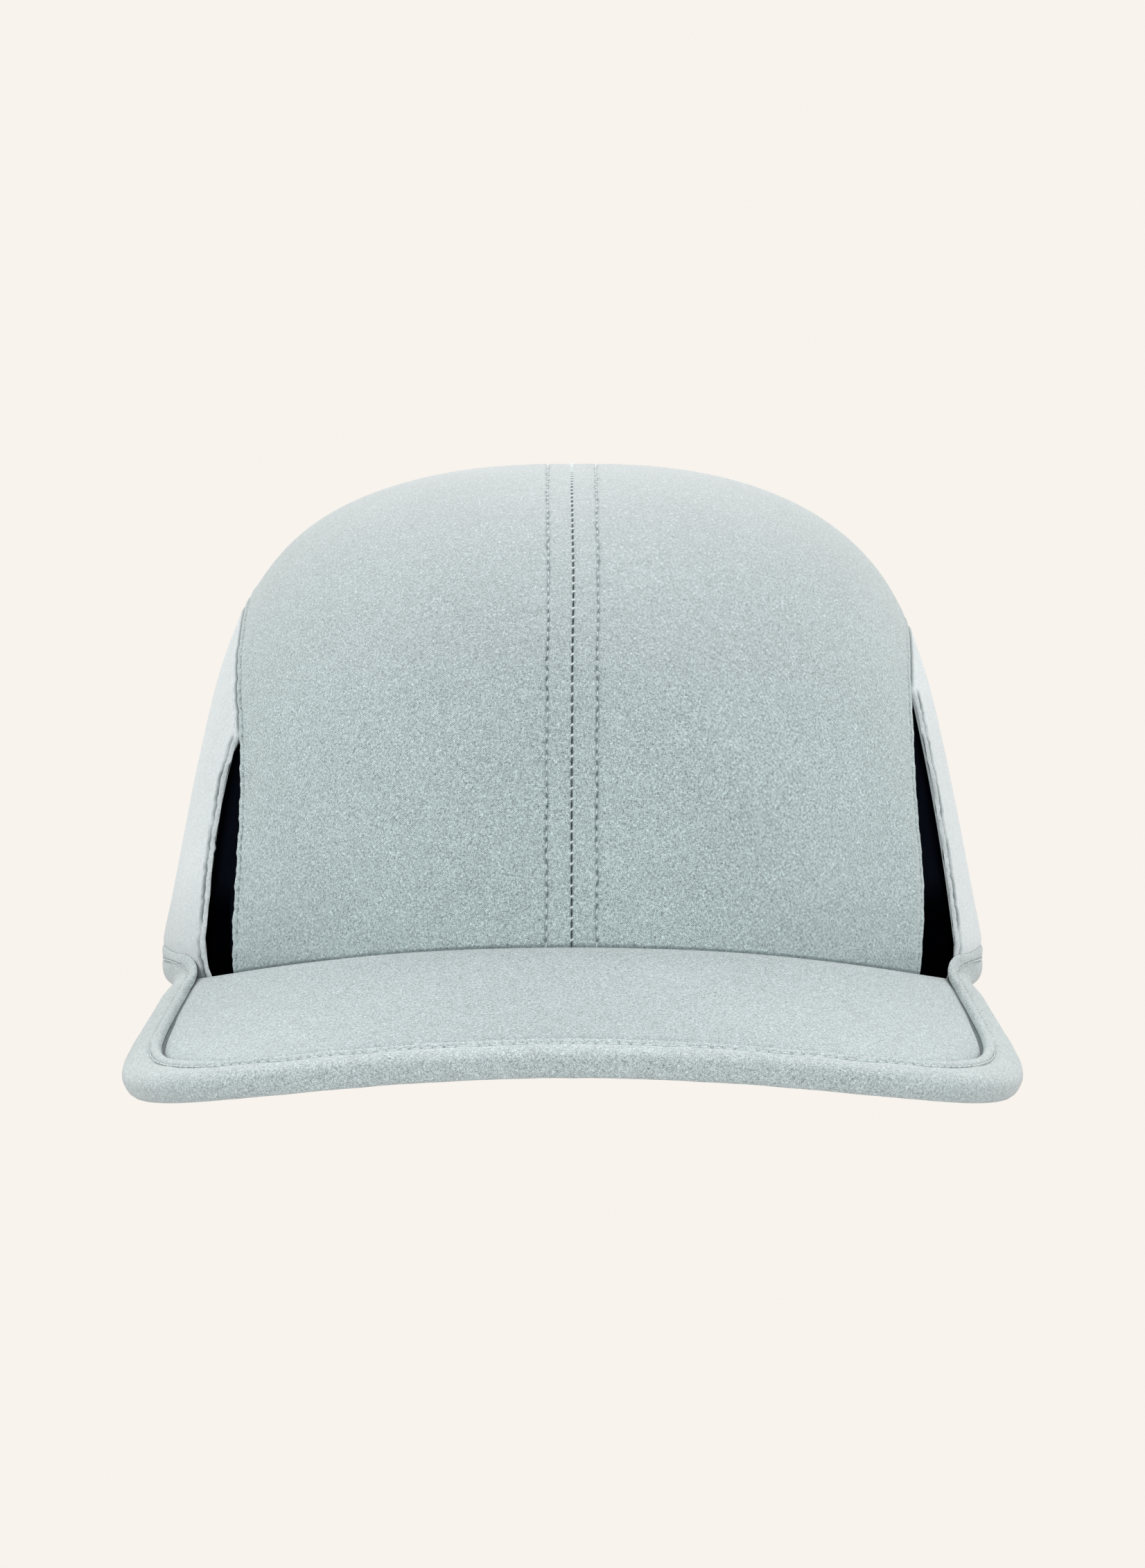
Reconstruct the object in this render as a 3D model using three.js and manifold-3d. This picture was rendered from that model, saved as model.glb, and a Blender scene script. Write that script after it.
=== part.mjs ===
// A running cap, in millimetres, +Z up, front towards -Y, resting on the plane z = 0.
//
// The cap is modelled level, with the lower edge of its crown on the plane z = 0, and is then
// tilted back as it settles on a table: on the two front corners of its peak and the back of its hem.
// Its crown is one curved surface, split into two top panels, two side panels and two mesh vents.
import * as THREE from 'three';
import { mergeVertices } from 'three/addons/utils/BufferGeometryUtils.js';
import Module from 'manifold-3d';

const wasm = await Module();
wasm.setup();

// Crown: its outer surface is an ellipse at every height, with these reaches to each side, front and back
const CROWN_HEIGHT = 109.1;
const CROWN_ROUNDNESS = 2.39;
const REACHES = {
  side: { foot: 87.3, taper: 0.196, fullness: 6.8 },
  front: { foot: 100.2, taper: 0.16, fullness: 4.2 },
  back: { foot: 97.5, taper: 0.03, fullness: 3.3 },
};

// Under the hem band the crown is drawn in by this much at its foot
const HEM_TUCK = { depth: 4.5, height: 11, power: 1.3 };

// Cloth thicknesses and the gap between neighbouring pieces
const CLOTH = 1.4;
const MESH_CLOTH = 1.0;
const GAP = 0.3;

// Seam between the top and side panels, in plan: straight from the front to the widest point, then curving in
const SEAM_BACK_X = 34;
const SEAM_BACK_Y = 92;

// One row for each side of the cap: where its seam runs and how far its vent opens
const SIDES = [
  { name: 'left', sign: -1, seamX: 68.0, ventHeight: 54, ventWidth: 10.3, ventFullness: 3.7 },
  { name: 'right', sign: 1, seamX: 69.8, ventHeight: 63, ventWidth: 13.4, ventFullness: 2.4 },
];
const VENT_LAP = 3.5;

// Peak: top surface, given by its height at the front of the crown, its fall forward and its arch
const PEAK_ROOT_Y = -98;
const PEAK_ROOT_Z = 14.2;
const PEAK_FALL = 0.272;
const PEAK_ARCH = 0.0031;
const PEAK_ARCH_FADE = 0.0000205;
const PEAK_FOAM = 3.0;

// Peak: outer edge in plan
const NECK = { x: 83.0, y: -25 };
const PEAK_SIDE = { x: 88.4, y: -98 };
const PEAK_TIP_Y = -163.6;
const CORNER_PULL = { side: 52, front: 55 };

// The foam blade stops short of the peak's edge, and further short near the ends of the peak
const BLADE_INSET = { edge: 1.4, neck: 5, from: -62, to: -44 };
const BLADE_ROOT = { x: 80, y: 92, squash: 0.72 };

// Edge band: one strip of cloth round the peak's edge and round the lower edge of the crown
const BAND_REACH = 9.0;
const BAND_STITCH = 6.6;
const BAND_HALF_PEAK = 2.8;
const BAND_HALF_HEM = 1.9;

// Where the band turns from lying on the peak to standing on the hem, at its outer and at its inner edge
const BAND_TURN = {
  outer: { start: -44, end: 6 },
  inner: { start: -52, end: -36 },
};
const HEM_SLOT = 1.2;

// The band is this much wider along the sides of the peak, between these places
const BAND_WIDEN = { most: 1.4, front: -160, fullFrom: -125, fullTo: -40, back: 0 };

// The crown's panels end just under the peak in front, and change to the hem between these places
const FOOT_UNDER_PEAK = 2.2;
const FOOT_CHANGE = { start: -52, end: -38 };

// How far the cloth is flattened where the cap rests on a table
const REST_PRESS = 0.45;

// How finely the surfaces are divided
const RAY_CENTRE = { y: 0, z: 30 };
const TOP_ROWS = 40;
const TOP_COLUMNS = 7;
const SIDE_ROWS = 9;
const SIDE_COLUMNS = 18;
const HEM_COLUMNS = 96;
const HEM_HEIGHTS = [HEM_SLOT, 3.5, 7, HEM_TUCK.height];
const HEM_WALL_TOP = 16;
const PLUG_HEIGHTS = [-30, 0, 3.5, 7, HEM_TUCK.height, 18, 30];
const VENT_ROWS = 10;
const VENT_COLUMNS = 3;
const BLADE_COLUMNS = 5;
const BAND_STEP = 8;
const BAND_TURN_STEPS = 10;
const BAND_HEM_STEPS = 22;

const lerp = (a, b, t) => a + (b - a) * t;
const clamp01 = (t) => Math.min(1, Math.max(0, t));
const ease = (t) => clamp01(t) ** 2 * (3 - 2 * clamp01(t));
const steps = (n) => Array.from({ length: n + 1 }, (_, i) => i / n);

// The parameter in [low, high] where a falling test turns from true to false.
function bisect(low, high, test) {
  for (let i = 0; i < 40; i++) {
    const middle = (low + high) / 2;
    if (test(middle)) low = middle;
    else high = middle;
  }
  return low;
}

function reach({ foot, taper, fullness }, height) {
  const z = Math.max(height, 0);
  const tuck = HEM_TUCK.depth * clamp01(1 - z / HEM_TUCK.height) ** HEM_TUCK.power;
  const dome = Math.max(1 - (z / CROWN_HEIGHT) ** fullness, 0) ** (1 / CROWN_ROUNDNESS);
  return (foot - taper * z - tuck) * dome;
}

const reachAlong = (y, z) => reach(y < 0 ? REACHES.front : REACHES.back, z);

function insideCrown(x, y, z) {
  if (z >= CROWN_HEIGHT) return false;
  return (x / reach(REACHES.side, z)) ** 2 + (y / reachAlong(y, z)) ** 2 < 1;
}

// Outer surface at a side-view position (y, z), on the side that sign gives.
function crownAt(y, z, sign) {
  const across = Math.sqrt(Math.max(1 - (y / reachAlong(y, z)) ** 2, 0));
  return new THREE.Vector3(sign * reach(REACHES.side, z) * across, y, z);
}

// Outward normal of the crown at a point of its surface.
function crownNormal({ x, y, z }) {
  const level = (h) => (x / reach(REACHES.side, h)) ** 2 + (y / reachAlong(y, h)) ** 2;
  const low = Math.min(z, CROWN_HEIGHT - 0.02);
  const slope = (level(low) - level(low - 0.01)) / 0.01;
  const normal = new THREE.Vector3(
    (2 * x) / reach(REACHES.side, low) ** 2,
    (2 * y) / reachAlong(y, low) ** 2,
    slope,
  );
  return normal.lengthSq() < 1e-12 ? normal.set(0, 0, 1) : normal.normalize();
}

// Distance of the side seam from the middle, at a place along the cap.
function seamX(side, y) {
  const behind = Math.max(y, 0) / SEAM_BACK_Y;
  return lerp(side.seamX, SEAM_BACK_X, behind ** 2);
}

// Where a ray in the side view, at an angle up from the front, meets the crown's line x = offset(y).
function alongRay(angle, offset, sign) {
  const at = (r) => [RAY_CENTRE.y - r * Math.cos(angle), RAY_CENTRE.z + r * Math.sin(angle)];
  const radius = bisect(0, 200, (r) => insideCrown(offset(at(r)[0]), ...at(r)));
  const [y, z] = at(radius);
  return new THREE.Vector3(sign * offset(y), y, z);
}

function peakTop(x, y) {
  const forward = PEAK_ROOT_Y - y;
  return PEAK_ROOT_Z - PEAK_FALL * forward - (PEAK_ARCH - PEAK_ARCH_FADE * forward) * x * x;
}

function peakNormal(x, y) {
  const d = 0.01;
  const slopeX = (peakTop(x + d, y) - peakTop(x - d, y)) / (2 * d);
  const slopeY = (peakTop(x, y + d) - peakTop(x, y - d)) / (2 * d);
  return new THREE.Vector3(-slopeX, -slopeY, 1).normalize();
}

// Lower edge of the crown's panels: under the peak in front, in the band's fold elsewhere.
function panelFoot(x, y) {
  const underPeak = peakTop(x, y) - PEAK_FOAM - FOOT_UNDER_PEAK;
  const change = ease((y - FOOT_CHANGE.start) / (FOOT_CHANGE.end - FOOT_CHANGE.start));
  return lerp(underPeak, HEM_SLOT, change);
}

// The angle of the ray at which a line of the crown reaches its panel's lower edge.
function footAngle(offset, sign, inFront) {
  const above = (angle) => {
    const p = alongRay(inFront ? angle : Math.PI - angle, offset, sign);
    return p.z > panelFoot(p.x, p.y);
  };
  const angle = bisect(Math.PI / 3, -Math.PI / 3, above);
  return inFront ? angle : Math.PI - angle;
}

// A closed solid from a grid of outer points and the same grid of inner points.
function sheet(outer, inner, { closed = false } = {}) {
  const rows = outer.length;
  const columns = outer[0].length;
  const positions = [...outer, ...inner].flat().flatMap((p) => p.toArray());
  const at = (layer, row, column) => layer * rows * columns + (row % rows) * columns + column;
  const faces = [];
  const quad = (a, b, c, d) => faces.push(a, b, c, a, c, d);
  const lastRow = closed ? rows : rows - 1;
  for (let r = 0; r < lastRow; r++) {
    for (let c = 0; c < columns - 1; c++) {
      quad(at(0, r, c), at(0, r, c + 1), at(0, r + 1, c + 1), at(0, r + 1, c));
      quad(at(1, r, c), at(1, r + 1, c), at(1, r + 1, c + 1), at(1, r, c + 1));
    }
    quad(at(0, r, 0), at(0, r + 1, 0), at(1, r + 1, 0), at(1, r, 0));
    const e = columns - 1;
    quad(at(0, r, e), at(1, r, e), at(1, r + 1, e), at(0, r + 1, e));
  }
  for (let c = 0; c < columns - 1 && !closed; c++) {
    const e = rows - 1;
    quad(at(0, 0, c), at(1, 0, c), at(1, 0, c + 1), at(0, 0, c + 1));
    quad(at(0, e, c), at(0, e, c + 1), at(1, e, c + 1), at(1, e, c));
  }
  return solid(positions, faces);
}

// A manifold solid of triangles, turned to face outwards.
function solid(positions, faces) {
  const geometry = new THREE.BufferGeometry();
  geometry.setAttribute('position', new THREE.Float32BufferAttribute(positions, 3));
  geometry.setIndex(faces);
  const merged = mergeVertices(geometry, 1e-4);
  const p = merged.attributes.position.array;
  const kept = [];
  for (let i = 0; i < merged.index.count; i += 3) {
    const [a, b, c] = merged.index.array.slice(i, i + 3);
    if (a !== b && b !== c && c !== a) kept.push(a, b, c);
  }
  const corner = (i) => new THREE.Vector3().fromArray(p, 3 * i);
  let volume = 0;
  for (let i = 0; i < kept.length; i += 3) {
    volume += corner(kept[i]).dot(corner(kept[i + 1]).cross(corner(kept[i + 2])));
  }
  if (volume < 0) kept.reverse();
  return new wasm.Manifold(new wasm.Mesh({
    numProp: 3,
    vertProperties: new Float32Array(p),
    triVerts: new Uint32Array(kept),
  }));
}

function largestPiece(manifold) {
  return manifold.decompose().reduce((a, b) => (a.volume() > b.volume() ? a : b));
}

function inward(point, depth) {
  return point.clone().addScaledVector(crownNormal(point), -depth);
}

const layers = (grid, top, bottom) => [
  grid.map((row) => row.map((p) => inward(p, top))),
  grid.map((row) => row.map((p) => inward(p, bottom))),
];

// Half of the crown's top, from the peak over the head to the hem, between the middle and a side seam.
// Its rows are closer together near its two ends, and its columns near the seam.
function topPanel(side) {
  const grid = steps(TOP_COLUMNS).map((t) => {
    const share = 1 - (1 - t) ** 1.4;
    const edge = (y) => seamX(side, y) - GAP / 2;
    const offset = (y) => lerp(GAP / 2, edge(y), share);
    const front = footAngle(offset, side.sign, true);
    const back = footAngle(offset, side.sign, false);
    return steps(TOP_ROWS).map((s) => {
      const spread = s - 0.1 * Math.sin(2 * Math.PI * s);
      return alongRay(lerp(front, back, spread), offset, side.sign);
    });
  });
  return sheet(...layers(grid, 0, CLOTH));
}

// Where the seam runs in the side view in front of the widest point, at a height.
function seamY(side, z) {
  const share = clamp01(side.seamX / reach(REACHES.side, z));
  return -reach(REACHES.front, z) * Math.sqrt(1 - share ** 2);
}

function ventGap({ ventWidth, ventHeight, ventFullness }, z) {
  return ventWidth * (1 - clamp01(z / ventHeight) ** ventFullness);
}

// Where the seam runs behind the widest point, at a height.
function seamBackY(side, z) {
  return bisect(0, REACHES.back.foot, (y) => insideCrown(seamX(side, y) + GAP / 2, y, z));
}

// Side of the crown, in rows from its foot to just under the top of the seam, which closes round it.
function sidePanel(side) {
  const seamTop = bisect(0, CROWN_HEIGHT, (z) => insideCrown(side.seamX + GAP / 2, 0, z));
  const hemTop = HEM_HEIGHTS.at(-1);
  const above = steps(SIDE_ROWS).slice(1).map((t) => lerp(hemTop, seamTop - GAP, 1 - (1 - t) ** 1.5));
  const grid = [...HEM_HEIGHTS, ...above].map((z) => {
    const front = seamY(side, z) + Math.max(ventGap(side, z), GAP);
    const back = seamBackY(side, z);
    const frontAngle = Math.acos(-front / reach(REACHES.front, z));
    const backAngle = Math.acos(-back / reach(REACHES.back, z));
    return steps(SIDE_COLUMNS).map((s) => {
      const spread = -Math.cos(lerp(frontAngle, backAngle, s));
      const y = spread * reachAlong(spread, z);
      return crownAt(y, z > HEM_SLOT ? z : panelFoot(side.seamX, y), side.sign);
    });
  });
  return sheet(...layers(grid, 0, CLOTH));
}

// Dark mesh behind the opening between the top and side panels.
function ventMesh(side) {
  const grid = steps(VENT_ROWS).map((t) => {
    const z = lerp(HEM_SLOT, side.ventHeight + VENT_LAP, t);
    const front = seamY(side, z) - VENT_LAP;
    const back = seamY(side, z) + ventGap(side, z) + VENT_LAP;
    return steps(VENT_COLUMNS).map((s) => crownAt(lerp(front, back, s), z, side.sign));
  });
  return sheet(...layers(grid, CLOTH + GAP, CLOTH + GAP + MESH_CLOTH));
}

// Outer edge of the peak in plan, from the tip to the neck, as points with outward directions.
function peakEdgeX(y) {
  return lerp(NECK.x, PEAK_SIDE.x, ease((NECK.y - y) / (NECK.y - PEAK_SIDE.y)));
}

function peakPlace(y) {
  const lean = (peakEdgeX(y + 0.01) - peakEdgeX(y - 0.01)) / 0.02;
  return { x: peakEdgeX(y), y, out: new THREE.Vector2(1, -lean).normalize() };
}

function peakOutline(toY) {
  const front = new THREE.CubicBezierCurve(
    new THREE.Vector2(0, PEAK_TIP_Y),
    new THREE.Vector2(CORNER_PULL.front, PEAK_TIP_Y),
    new THREE.Vector2(PEAK_SIDE.x, PEAK_SIDE.y - CORNER_PULL.side),
    new THREE.Vector2(PEAK_SIDE.x, PEAK_SIDE.y),
  );
  const frontCount = Math.round(front.getLength() / BAND_STEP);
  const places = steps(frontCount).map((t) => {
    const point = front.getPointAt(t);
    const along = front.getTangentAt(t);
    return { x: point.x, y: point.y, out: new THREE.Vector2(along.y, -along.x) };
  });
  const sideCount = Math.round((toY - PEAK_SIDE.y) / BAND_STEP);
  for (const t of steps(sideCount).slice(1)) places.push(peakPlace(lerp(PEAK_SIDE.y, toY, t)));
  return places;
}

// A point of the peak: set in from its outer edge and above the middle of its thickness.
function onPeak({ x, y, out }, inset, rise) {
  const fall = (peakTop(x, y) - peakTop(x - out.x, y - out.y));
  const share = inset / Math.hypot(1, fall);
  const px = x - out.x * share;
  const py = y - out.y * share;
  const normal = peakNormal(px, py);
  return new THREE.Vector3(px, py, peakTop(px, py))
    .addScaledVector(normal, rise - PEAK_FOAM / 2);
}

// A point of the hem: above its lower edge and outside the middle of its wall.
function onHem(y, z, rise) {
  const spread = clamp01(Math.abs(y) / reachAlong(y, 0));
  const foot = new THREE.Vector3(
    reach(REACHES.side, z) * Math.sqrt(1 - spread ** 2),
    Math.sign(y) * reachAlong(y, z) * spread,
    z,
  );
  return foot.addScaledVector(crownNormal(foot), rise - CLOTH / 2);
}

// Section of the edge band: inset from its outer edge, and share of its half thickness.
const BAND_SECTION = [
  { inset: BAND_REACH, rise: 0.6 },
  { inset: BAND_REACH - 1.0, rise: 1.0 },
  { inset: BAND_STITCH, rise: 0.86 },
  { inset: BAND_STITCH - 1.6, rise: 1.0 },
  { inset: 1.4, rise: 0.85 },
  { inset: 0.0, rise: 0.25 },
  { inset: 0.0, rise: -0.25 },
  { inset: 1.4, rise: -0.9 },
  { inset: BAND_REACH - 1.0, rise: -1.0 },
  { inset: BAND_REACH, rise: -0.6 },
];

// Half of the band's stations, from the tip of the peak to the middle of the back.
function bandStations() {
  const turnEnd = BAND_TURN.outer.end;
  const stations = peakOutline(BAND_TURN.inner.start);
  for (const t of steps(BAND_TURN_STEPS).slice(1)) {
    stations.push(peakPlace(lerp(BAND_TURN.inner.start, turnEnd, t)));
  }
  const startAngle = Math.acos(-turnEnd / reachAlong(turnEnd, 0));
  for (const t of steps(BAND_HEM_STEPS).slice(1)) {
    const angle = lerp(startAngle, Math.PI, t);
    stations.push({ y: -Math.cos(angle) * reachAlong(angle - Math.PI / 2, 0) });
  }
  return stations;
}

// How far the band has turned at a place along the cap, from 0 on the peak to 1 on the hem.
function bandTurned(y, inset) {
  const share = inset / BAND_REACH;
  const start = lerp(BAND_TURN.outer.start, BAND_TURN.inner.start, share);
  const end = lerp(BAND_TURN.outer.end, BAND_TURN.inner.end, share);
  return ease((y - start) / (end - start));
}

// Distance in from the band's outer edge, with its widening along the sides.
function bandInset(y, inset) {
  const { most, front, fullFrom, fullTo, back } = BAND_WIDEN;
  const wide = ease((y - front) / (fullFrom - front)) * ease((back - y) / (back - fullTo));
  return inset + most * wide * (inset / BAND_REACH) ** 1.5;
}

function bandSectionAt(place) {
  return BAND_SECTION.map(({ inset, rise }) => {
    const turn = bandTurned(place.y, inset);
    const half = lerp(BAND_HALF_PEAK, BAND_HALF_HEM, turn);
    const across = bandInset(place.y, inset);
    if (turn === 0) return onPeak(place, across, rise * half);
    const hem = onHem(place.y, across, rise * half);
    return turn === 1 ? hem : onPeak(place, across, rise * half).lerp(hem, turn);
  });
}

function bandBlank() {
  const half = bandStations().map(bandSectionAt);
  const mirrored = half.slice(1, -1).reverse()
    .map((section) => section.map((p) => new THREE.Vector3(-p.x, p.y, p.z)));
  const loop = [...half, ...mirrored];
  const positions = loop.flat().flatMap((p) => p.toArray());
  const n = BAND_SECTION.length;
  const faces = [];
  loop.forEach((_, i) => {
    const here = i * n;
    const next = ((i + 1) % loop.length) * n;
    for (let k = 0; k < n; k++) {
      const l = (k + 1) % n;
      faces.push(here + k, here + l, next + l, here + k, next + l, next + k);
    }
  });
  return solid(positions, faces);
}

// A point of the crown's outer surface: an angle round from the front, at a height.
function around(angle, z) {
  const y = -Math.cos(angle) * reachAlong(-Math.cos(angle), z);
  return new THREE.Vector3(Math.sin(angle) * reach(REACHES.side, z), y, z);
}

const fullTurn = steps(HEM_COLUMNS).slice(0, -1).map((t) => t * 2 * Math.PI);

// The crown's outer form near its foot, grown or shrunk, from below the hem to above the peak.
function crownPlug(grow) {
  const grid = fullTurn.map((angle) => PLUG_HEIGHTS.map((z) => inward(around(angle, z), -grow)));
  const axis = fullTurn.map(() => PLUG_HEIGHTS.map((z) => new THREE.Vector3(0, 0, z)));
  return sheet(grid, axis, { closed: true });
}

// Foam blade of the peak, in one piece from neck to neck, cut to the crown.
function peakBlade(grow) {
  const half = peakOutline(BLADE_INSET.to);
  const rows = [...half.slice(1).reverse().map((place) => [place, -1]), ...half.map((place) => [place, 1])];
  const faceAt = (rise) => rows.map(([place, sign]) => {
    const nearNeck = ease((place.y - BLADE_INSET.from) / (BLADE_INSET.to - BLADE_INSET.from));
    const rim = onPeak(place, lerp(BLADE_INSET.edge, BLADE_INSET.neck, nearNeck) - grow, 0);
    const angle = Math.atan2(rim.x, -rim.y * BLADE_ROOT.squash);
    return steps(BLADE_COLUMNS).map((t) => {
      const x = lerp(rim.x, Math.sin(angle) * BLADE_ROOT.x, t);
      const y = lerp(rim.y, -Math.cos(angle) * BLADE_ROOT.y, t);
      const p = new THREE.Vector3(x, y, peakTop(x, y)).addScaledVector(peakNormal(x, y), rise);
      p.x *= sign;
      return p;
    });
  });
  const blade = sheet(faceAt(grow), faceAt(-PEAK_FOAM - grow));
  return largestPiece(blade.subtract(crownPlug(GAP - grow)));
}

// The wall of the crown near its foot, grown on every side, which the band keeps clear of.
function hemWall() {
  const grid = fullTurn.map((angle) => {
    const foot = around(angle, 0);
    const low = panelFoot(foot.x, foot.y) - GAP;
    const share = (z) => (z - HEM_SLOT) / (HEM_WALL_TOP - HEM_SLOT);
    return [...HEM_HEIGHTS, HEM_WALL_TOP].map((z) => around(angle, lerp(low, HEM_WALL_TOP, share(z))));
  });
  return sheet(...layers(grid, -GAP, CLOTH + GAP), { closed: true });
}

function meshFrom(name, manifold, material) {
  const { vertProperties, triVerts, numProp } = manifold.getMesh();
  const geometry = new THREE.BufferGeometry();
  const data = new THREE.InterleavedBuffer(vertProperties, numProp);
  const flat = new Float32Array(data.count * 3);
  for (let i = 0; i < data.count; i++) {
    flat.set(vertProperties.slice(i * numProp, i * numProp + 3), i * 3);
  }
  geometry.setAttribute('position', new THREE.BufferAttribute(flat, 3));
  geometry.setIndex([...triVerts]);
  geometry.computeVertexNormals();
  const mesh = new THREE.Mesh(geometry, material);
  mesh.name = name;
  return mesh;
}

const cloth = (name, color) => new THREE.MeshStandardMaterial({ name, color, roughness: 0.8, metalness: 0 });
const CROWN_CLOTH = cloth('crown cloth', '#b7c5c7');
const SIDE_CLOTH = cloth('side cloth', '#c6d2d4');
const PEAK_CLOTH = cloth('peak cloth', '#bfcccd');
const BAND_CLOTH = cloth('band cloth', '#b9c8ca');
const VENT_CLOTH = cloth('vent mesh', '#0a0d16');

// How the cap settles on a table: it tilts back until the front corners of its peak and the back of
// its hem touch the table together, and their cloth is pressed a little flat.
function settle() {
  const points = bandStations().flatMap(bandSectionAt);
  const front = points.filter((p) => p.y < PEAK_ROOT_Y);
  const back = points.filter((p) => p.y > 0);
  const lowest = (some, tilt) => Math.min(...some.map((p) => p.z * Math.cos(tilt) - p.y * Math.sin(tilt)));
  const along = (tilt) => points.map((p) => p.y * Math.cos(tilt) + p.z * Math.sin(tilt));
  const tilt = bisect(0, 0.3, (angle) => lowest(front, angle) < lowest(back, angle));
  return {
    tilt,
    lift: -lowest(points, tilt) - REST_PRESS,
    shift: -(Math.min(...along(tilt)) + Math.max(...along(tilt))) / 2,
  };
}

// The table that the cap rests on, as a slab in the cap's own level frame.
function tableSlab({ tilt, lift }) {
  const slab = new THREE.BoxGeometry(600, 600, 40).toNonIndexed();
  slab.translate(0, 0, -20 - lift);
  slab.deleteAttribute('normal');
  slab.deleteAttribute('uv');
  slab.rotateX(tilt);
  const merged = mergeVertices(slab, 1e-4);
  return solid([...merged.attributes.position.array], [...merged.index.array]);
}

const rest = settle();
const vents = SIDES.map(ventMesh);
const blade = peakBlade(0);
let band = bandBlank()
  .subtract(peakBlade(GAP))
  .subtract(hemWall())
  .subtract(tableSlab(rest));
for (const vent of vents) band = band.subtract(vent);
band = largestPiece(band);

const cap = new THREE.Group();
cap.rotation.x = -rest.tilt;
cap.position.set(0, rest.shift, rest.lift);
SIDES.forEach((side, i) => {
  cap.add(meshFrom(`top_panel_${side.name}`, topPanel(side), CROWN_CLOTH));
  cap.add(meshFrom(`side_panel_${side.name}`, sidePanel(side), SIDE_CLOTH));
  cap.add(meshFrom(`vent_mesh_${side.name}`, vents[i], VENT_CLOTH));
});
cap.add(meshFrom('peak_blade', blade, PEAK_CLOTH));
cap.add(meshFrom('edge_band', band, BAND_CLOTH));

const model = new THREE.Group();
model.add(cap);

export default model;
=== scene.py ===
# A running cap in pale cloth, dressed over its solids, on a pale studio floor.
#
# Shapes are worked out in millimetres in the cap's own level frame, where the lower edge of the
# crown lies on the plane z = 0 and the front is towards -Y. They are then set down as the cap rests.
import math

import bpy
import numpy as np
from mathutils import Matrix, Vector
from mathutils.kdtree import KDTree


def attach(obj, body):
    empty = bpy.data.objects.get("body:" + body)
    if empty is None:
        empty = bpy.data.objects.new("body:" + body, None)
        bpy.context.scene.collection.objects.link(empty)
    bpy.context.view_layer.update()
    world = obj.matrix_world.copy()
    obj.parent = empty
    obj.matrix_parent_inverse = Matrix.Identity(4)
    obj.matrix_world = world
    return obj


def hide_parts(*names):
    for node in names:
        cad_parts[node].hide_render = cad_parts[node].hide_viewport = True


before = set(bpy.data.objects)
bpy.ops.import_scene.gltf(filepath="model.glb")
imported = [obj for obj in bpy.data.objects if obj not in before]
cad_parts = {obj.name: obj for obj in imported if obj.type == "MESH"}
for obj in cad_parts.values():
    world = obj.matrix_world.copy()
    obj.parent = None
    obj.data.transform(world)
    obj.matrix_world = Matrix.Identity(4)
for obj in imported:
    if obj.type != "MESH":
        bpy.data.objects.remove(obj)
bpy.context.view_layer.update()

MM = 0.001
BISECT_STEPS = 34
MIRRORED = np.array([-1.0, 1.0, 1.0])

# Crown: its outer surface is an ellipse at every height, with these reaches (foot, taper, fullness)
CROWN_HEIGHT = 109.1
CROWN_ROUNDNESS = 2.39
REACHES = {"side": (87.3, 0.196, 6.8), "front": (100.2, 0.16, 4.2), "back": (97.5, 0.03, 3.3)}
HEM_TUCK_DEPTH = 4.5
HEM_TUCK_HEIGHT = 11.0
HEM_TUCK_POWER = 1.3

CLOTH = 1.4
MESH_CLOTH = 1.0
GAP = 0.3

# Seam between the top and side panels in plan: straight from the front, then curving in behind
SEAM_BACK_X = 34.0
SEAM_BACK_Y = 92.0

# The two sides differ a little, as in the photograph: where the seam runs, how high, wide and full the vent
# is and how far it stands open, how strong the painted shade is at the foot of the side panel (shade) and low
# on the outer top panel (low), how rough the sewn edge and how swollen the cloth beside it, which also sets a
# painted shade in the hollow there, and its drift at each height
SIDES = [
    {"name": "left", "sign": -1, "seam": 68.0,
     "vent_height": 54.0, "vent_width": 10.3, "vent_fullness": 3.7, "vent_open": 1.15,
     "shade": 0.23, "low": 0.015, "rough": 0.7, "swell": 0.1,
     "drift": [(0, 0.0), (6, 0.2), (13, 0.8), (21, 0.3), (31, -0.2),
               (41, -0.6), (50, -0.5), (58, 0.1), (66, 0.8), (80, 0.6)]},
    {"name": "right", "sign": 1, "seam": 69.8,
     "vent_height": 63.0, "vent_width": 13.4, "vent_fullness": 2.4, "vent_open": 1.32,
     "shade": 0.05, "low": 0.06, "rough": 0.35, "swell": 1.0,
     "drift": [(0, 0.0), (6, 0.4), (13, 1.0), (21, 1.4), (29, 1.0),
               (36, 0.5), (45, 0.0), (60, -0.2), (68, -0.5), (80, 0.2)]},
]
VENT_LAP = 3.5
VENT_FOOT = -0.8
VENT_EDGE_CLOTH = 0.3

# Peak: height of its top surface at the crown, its fall forward, its arch and its thickness
PEAK_ROOT_Y = -98.0
PEAK_ROOT_Z = 14.2
PEAK_FALL = 0.272
PEAK_ARCH = 0.0031
PEAK_ARCH_FADE = 0.0000205
PEAK_FOAM = 3.0

# Peak: outer edge in plan
NECK = (83.0, -25.0)
PEAK_SIDE = (88.4, -98.0)
PEAK_TIP_Y = -163.6
CORNER_PULL_SIDE = 52.0
CORNER_PULL_FRONT = 55.0

# Edge band: one strip round the peak's edge and the lower edge of the crown
BAND_REACH = 9.0
BAND_HALF_PEAK = 2.8
BAND_HALF_HEM = 1.8
BAND_TURN_OUTER = (-44.0, 6.0)
BAND_TURN_INNER = (-52.0, -36.0)
BAND_WIDEN = 1.4
HEM_SLOT = 1.2

# The panels end just under the peak in front, and change to the hem between these places
FOOT_UNDER_PEAK = 2.2
FOOT_CHANGE = (-52.0, -38.0)

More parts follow.
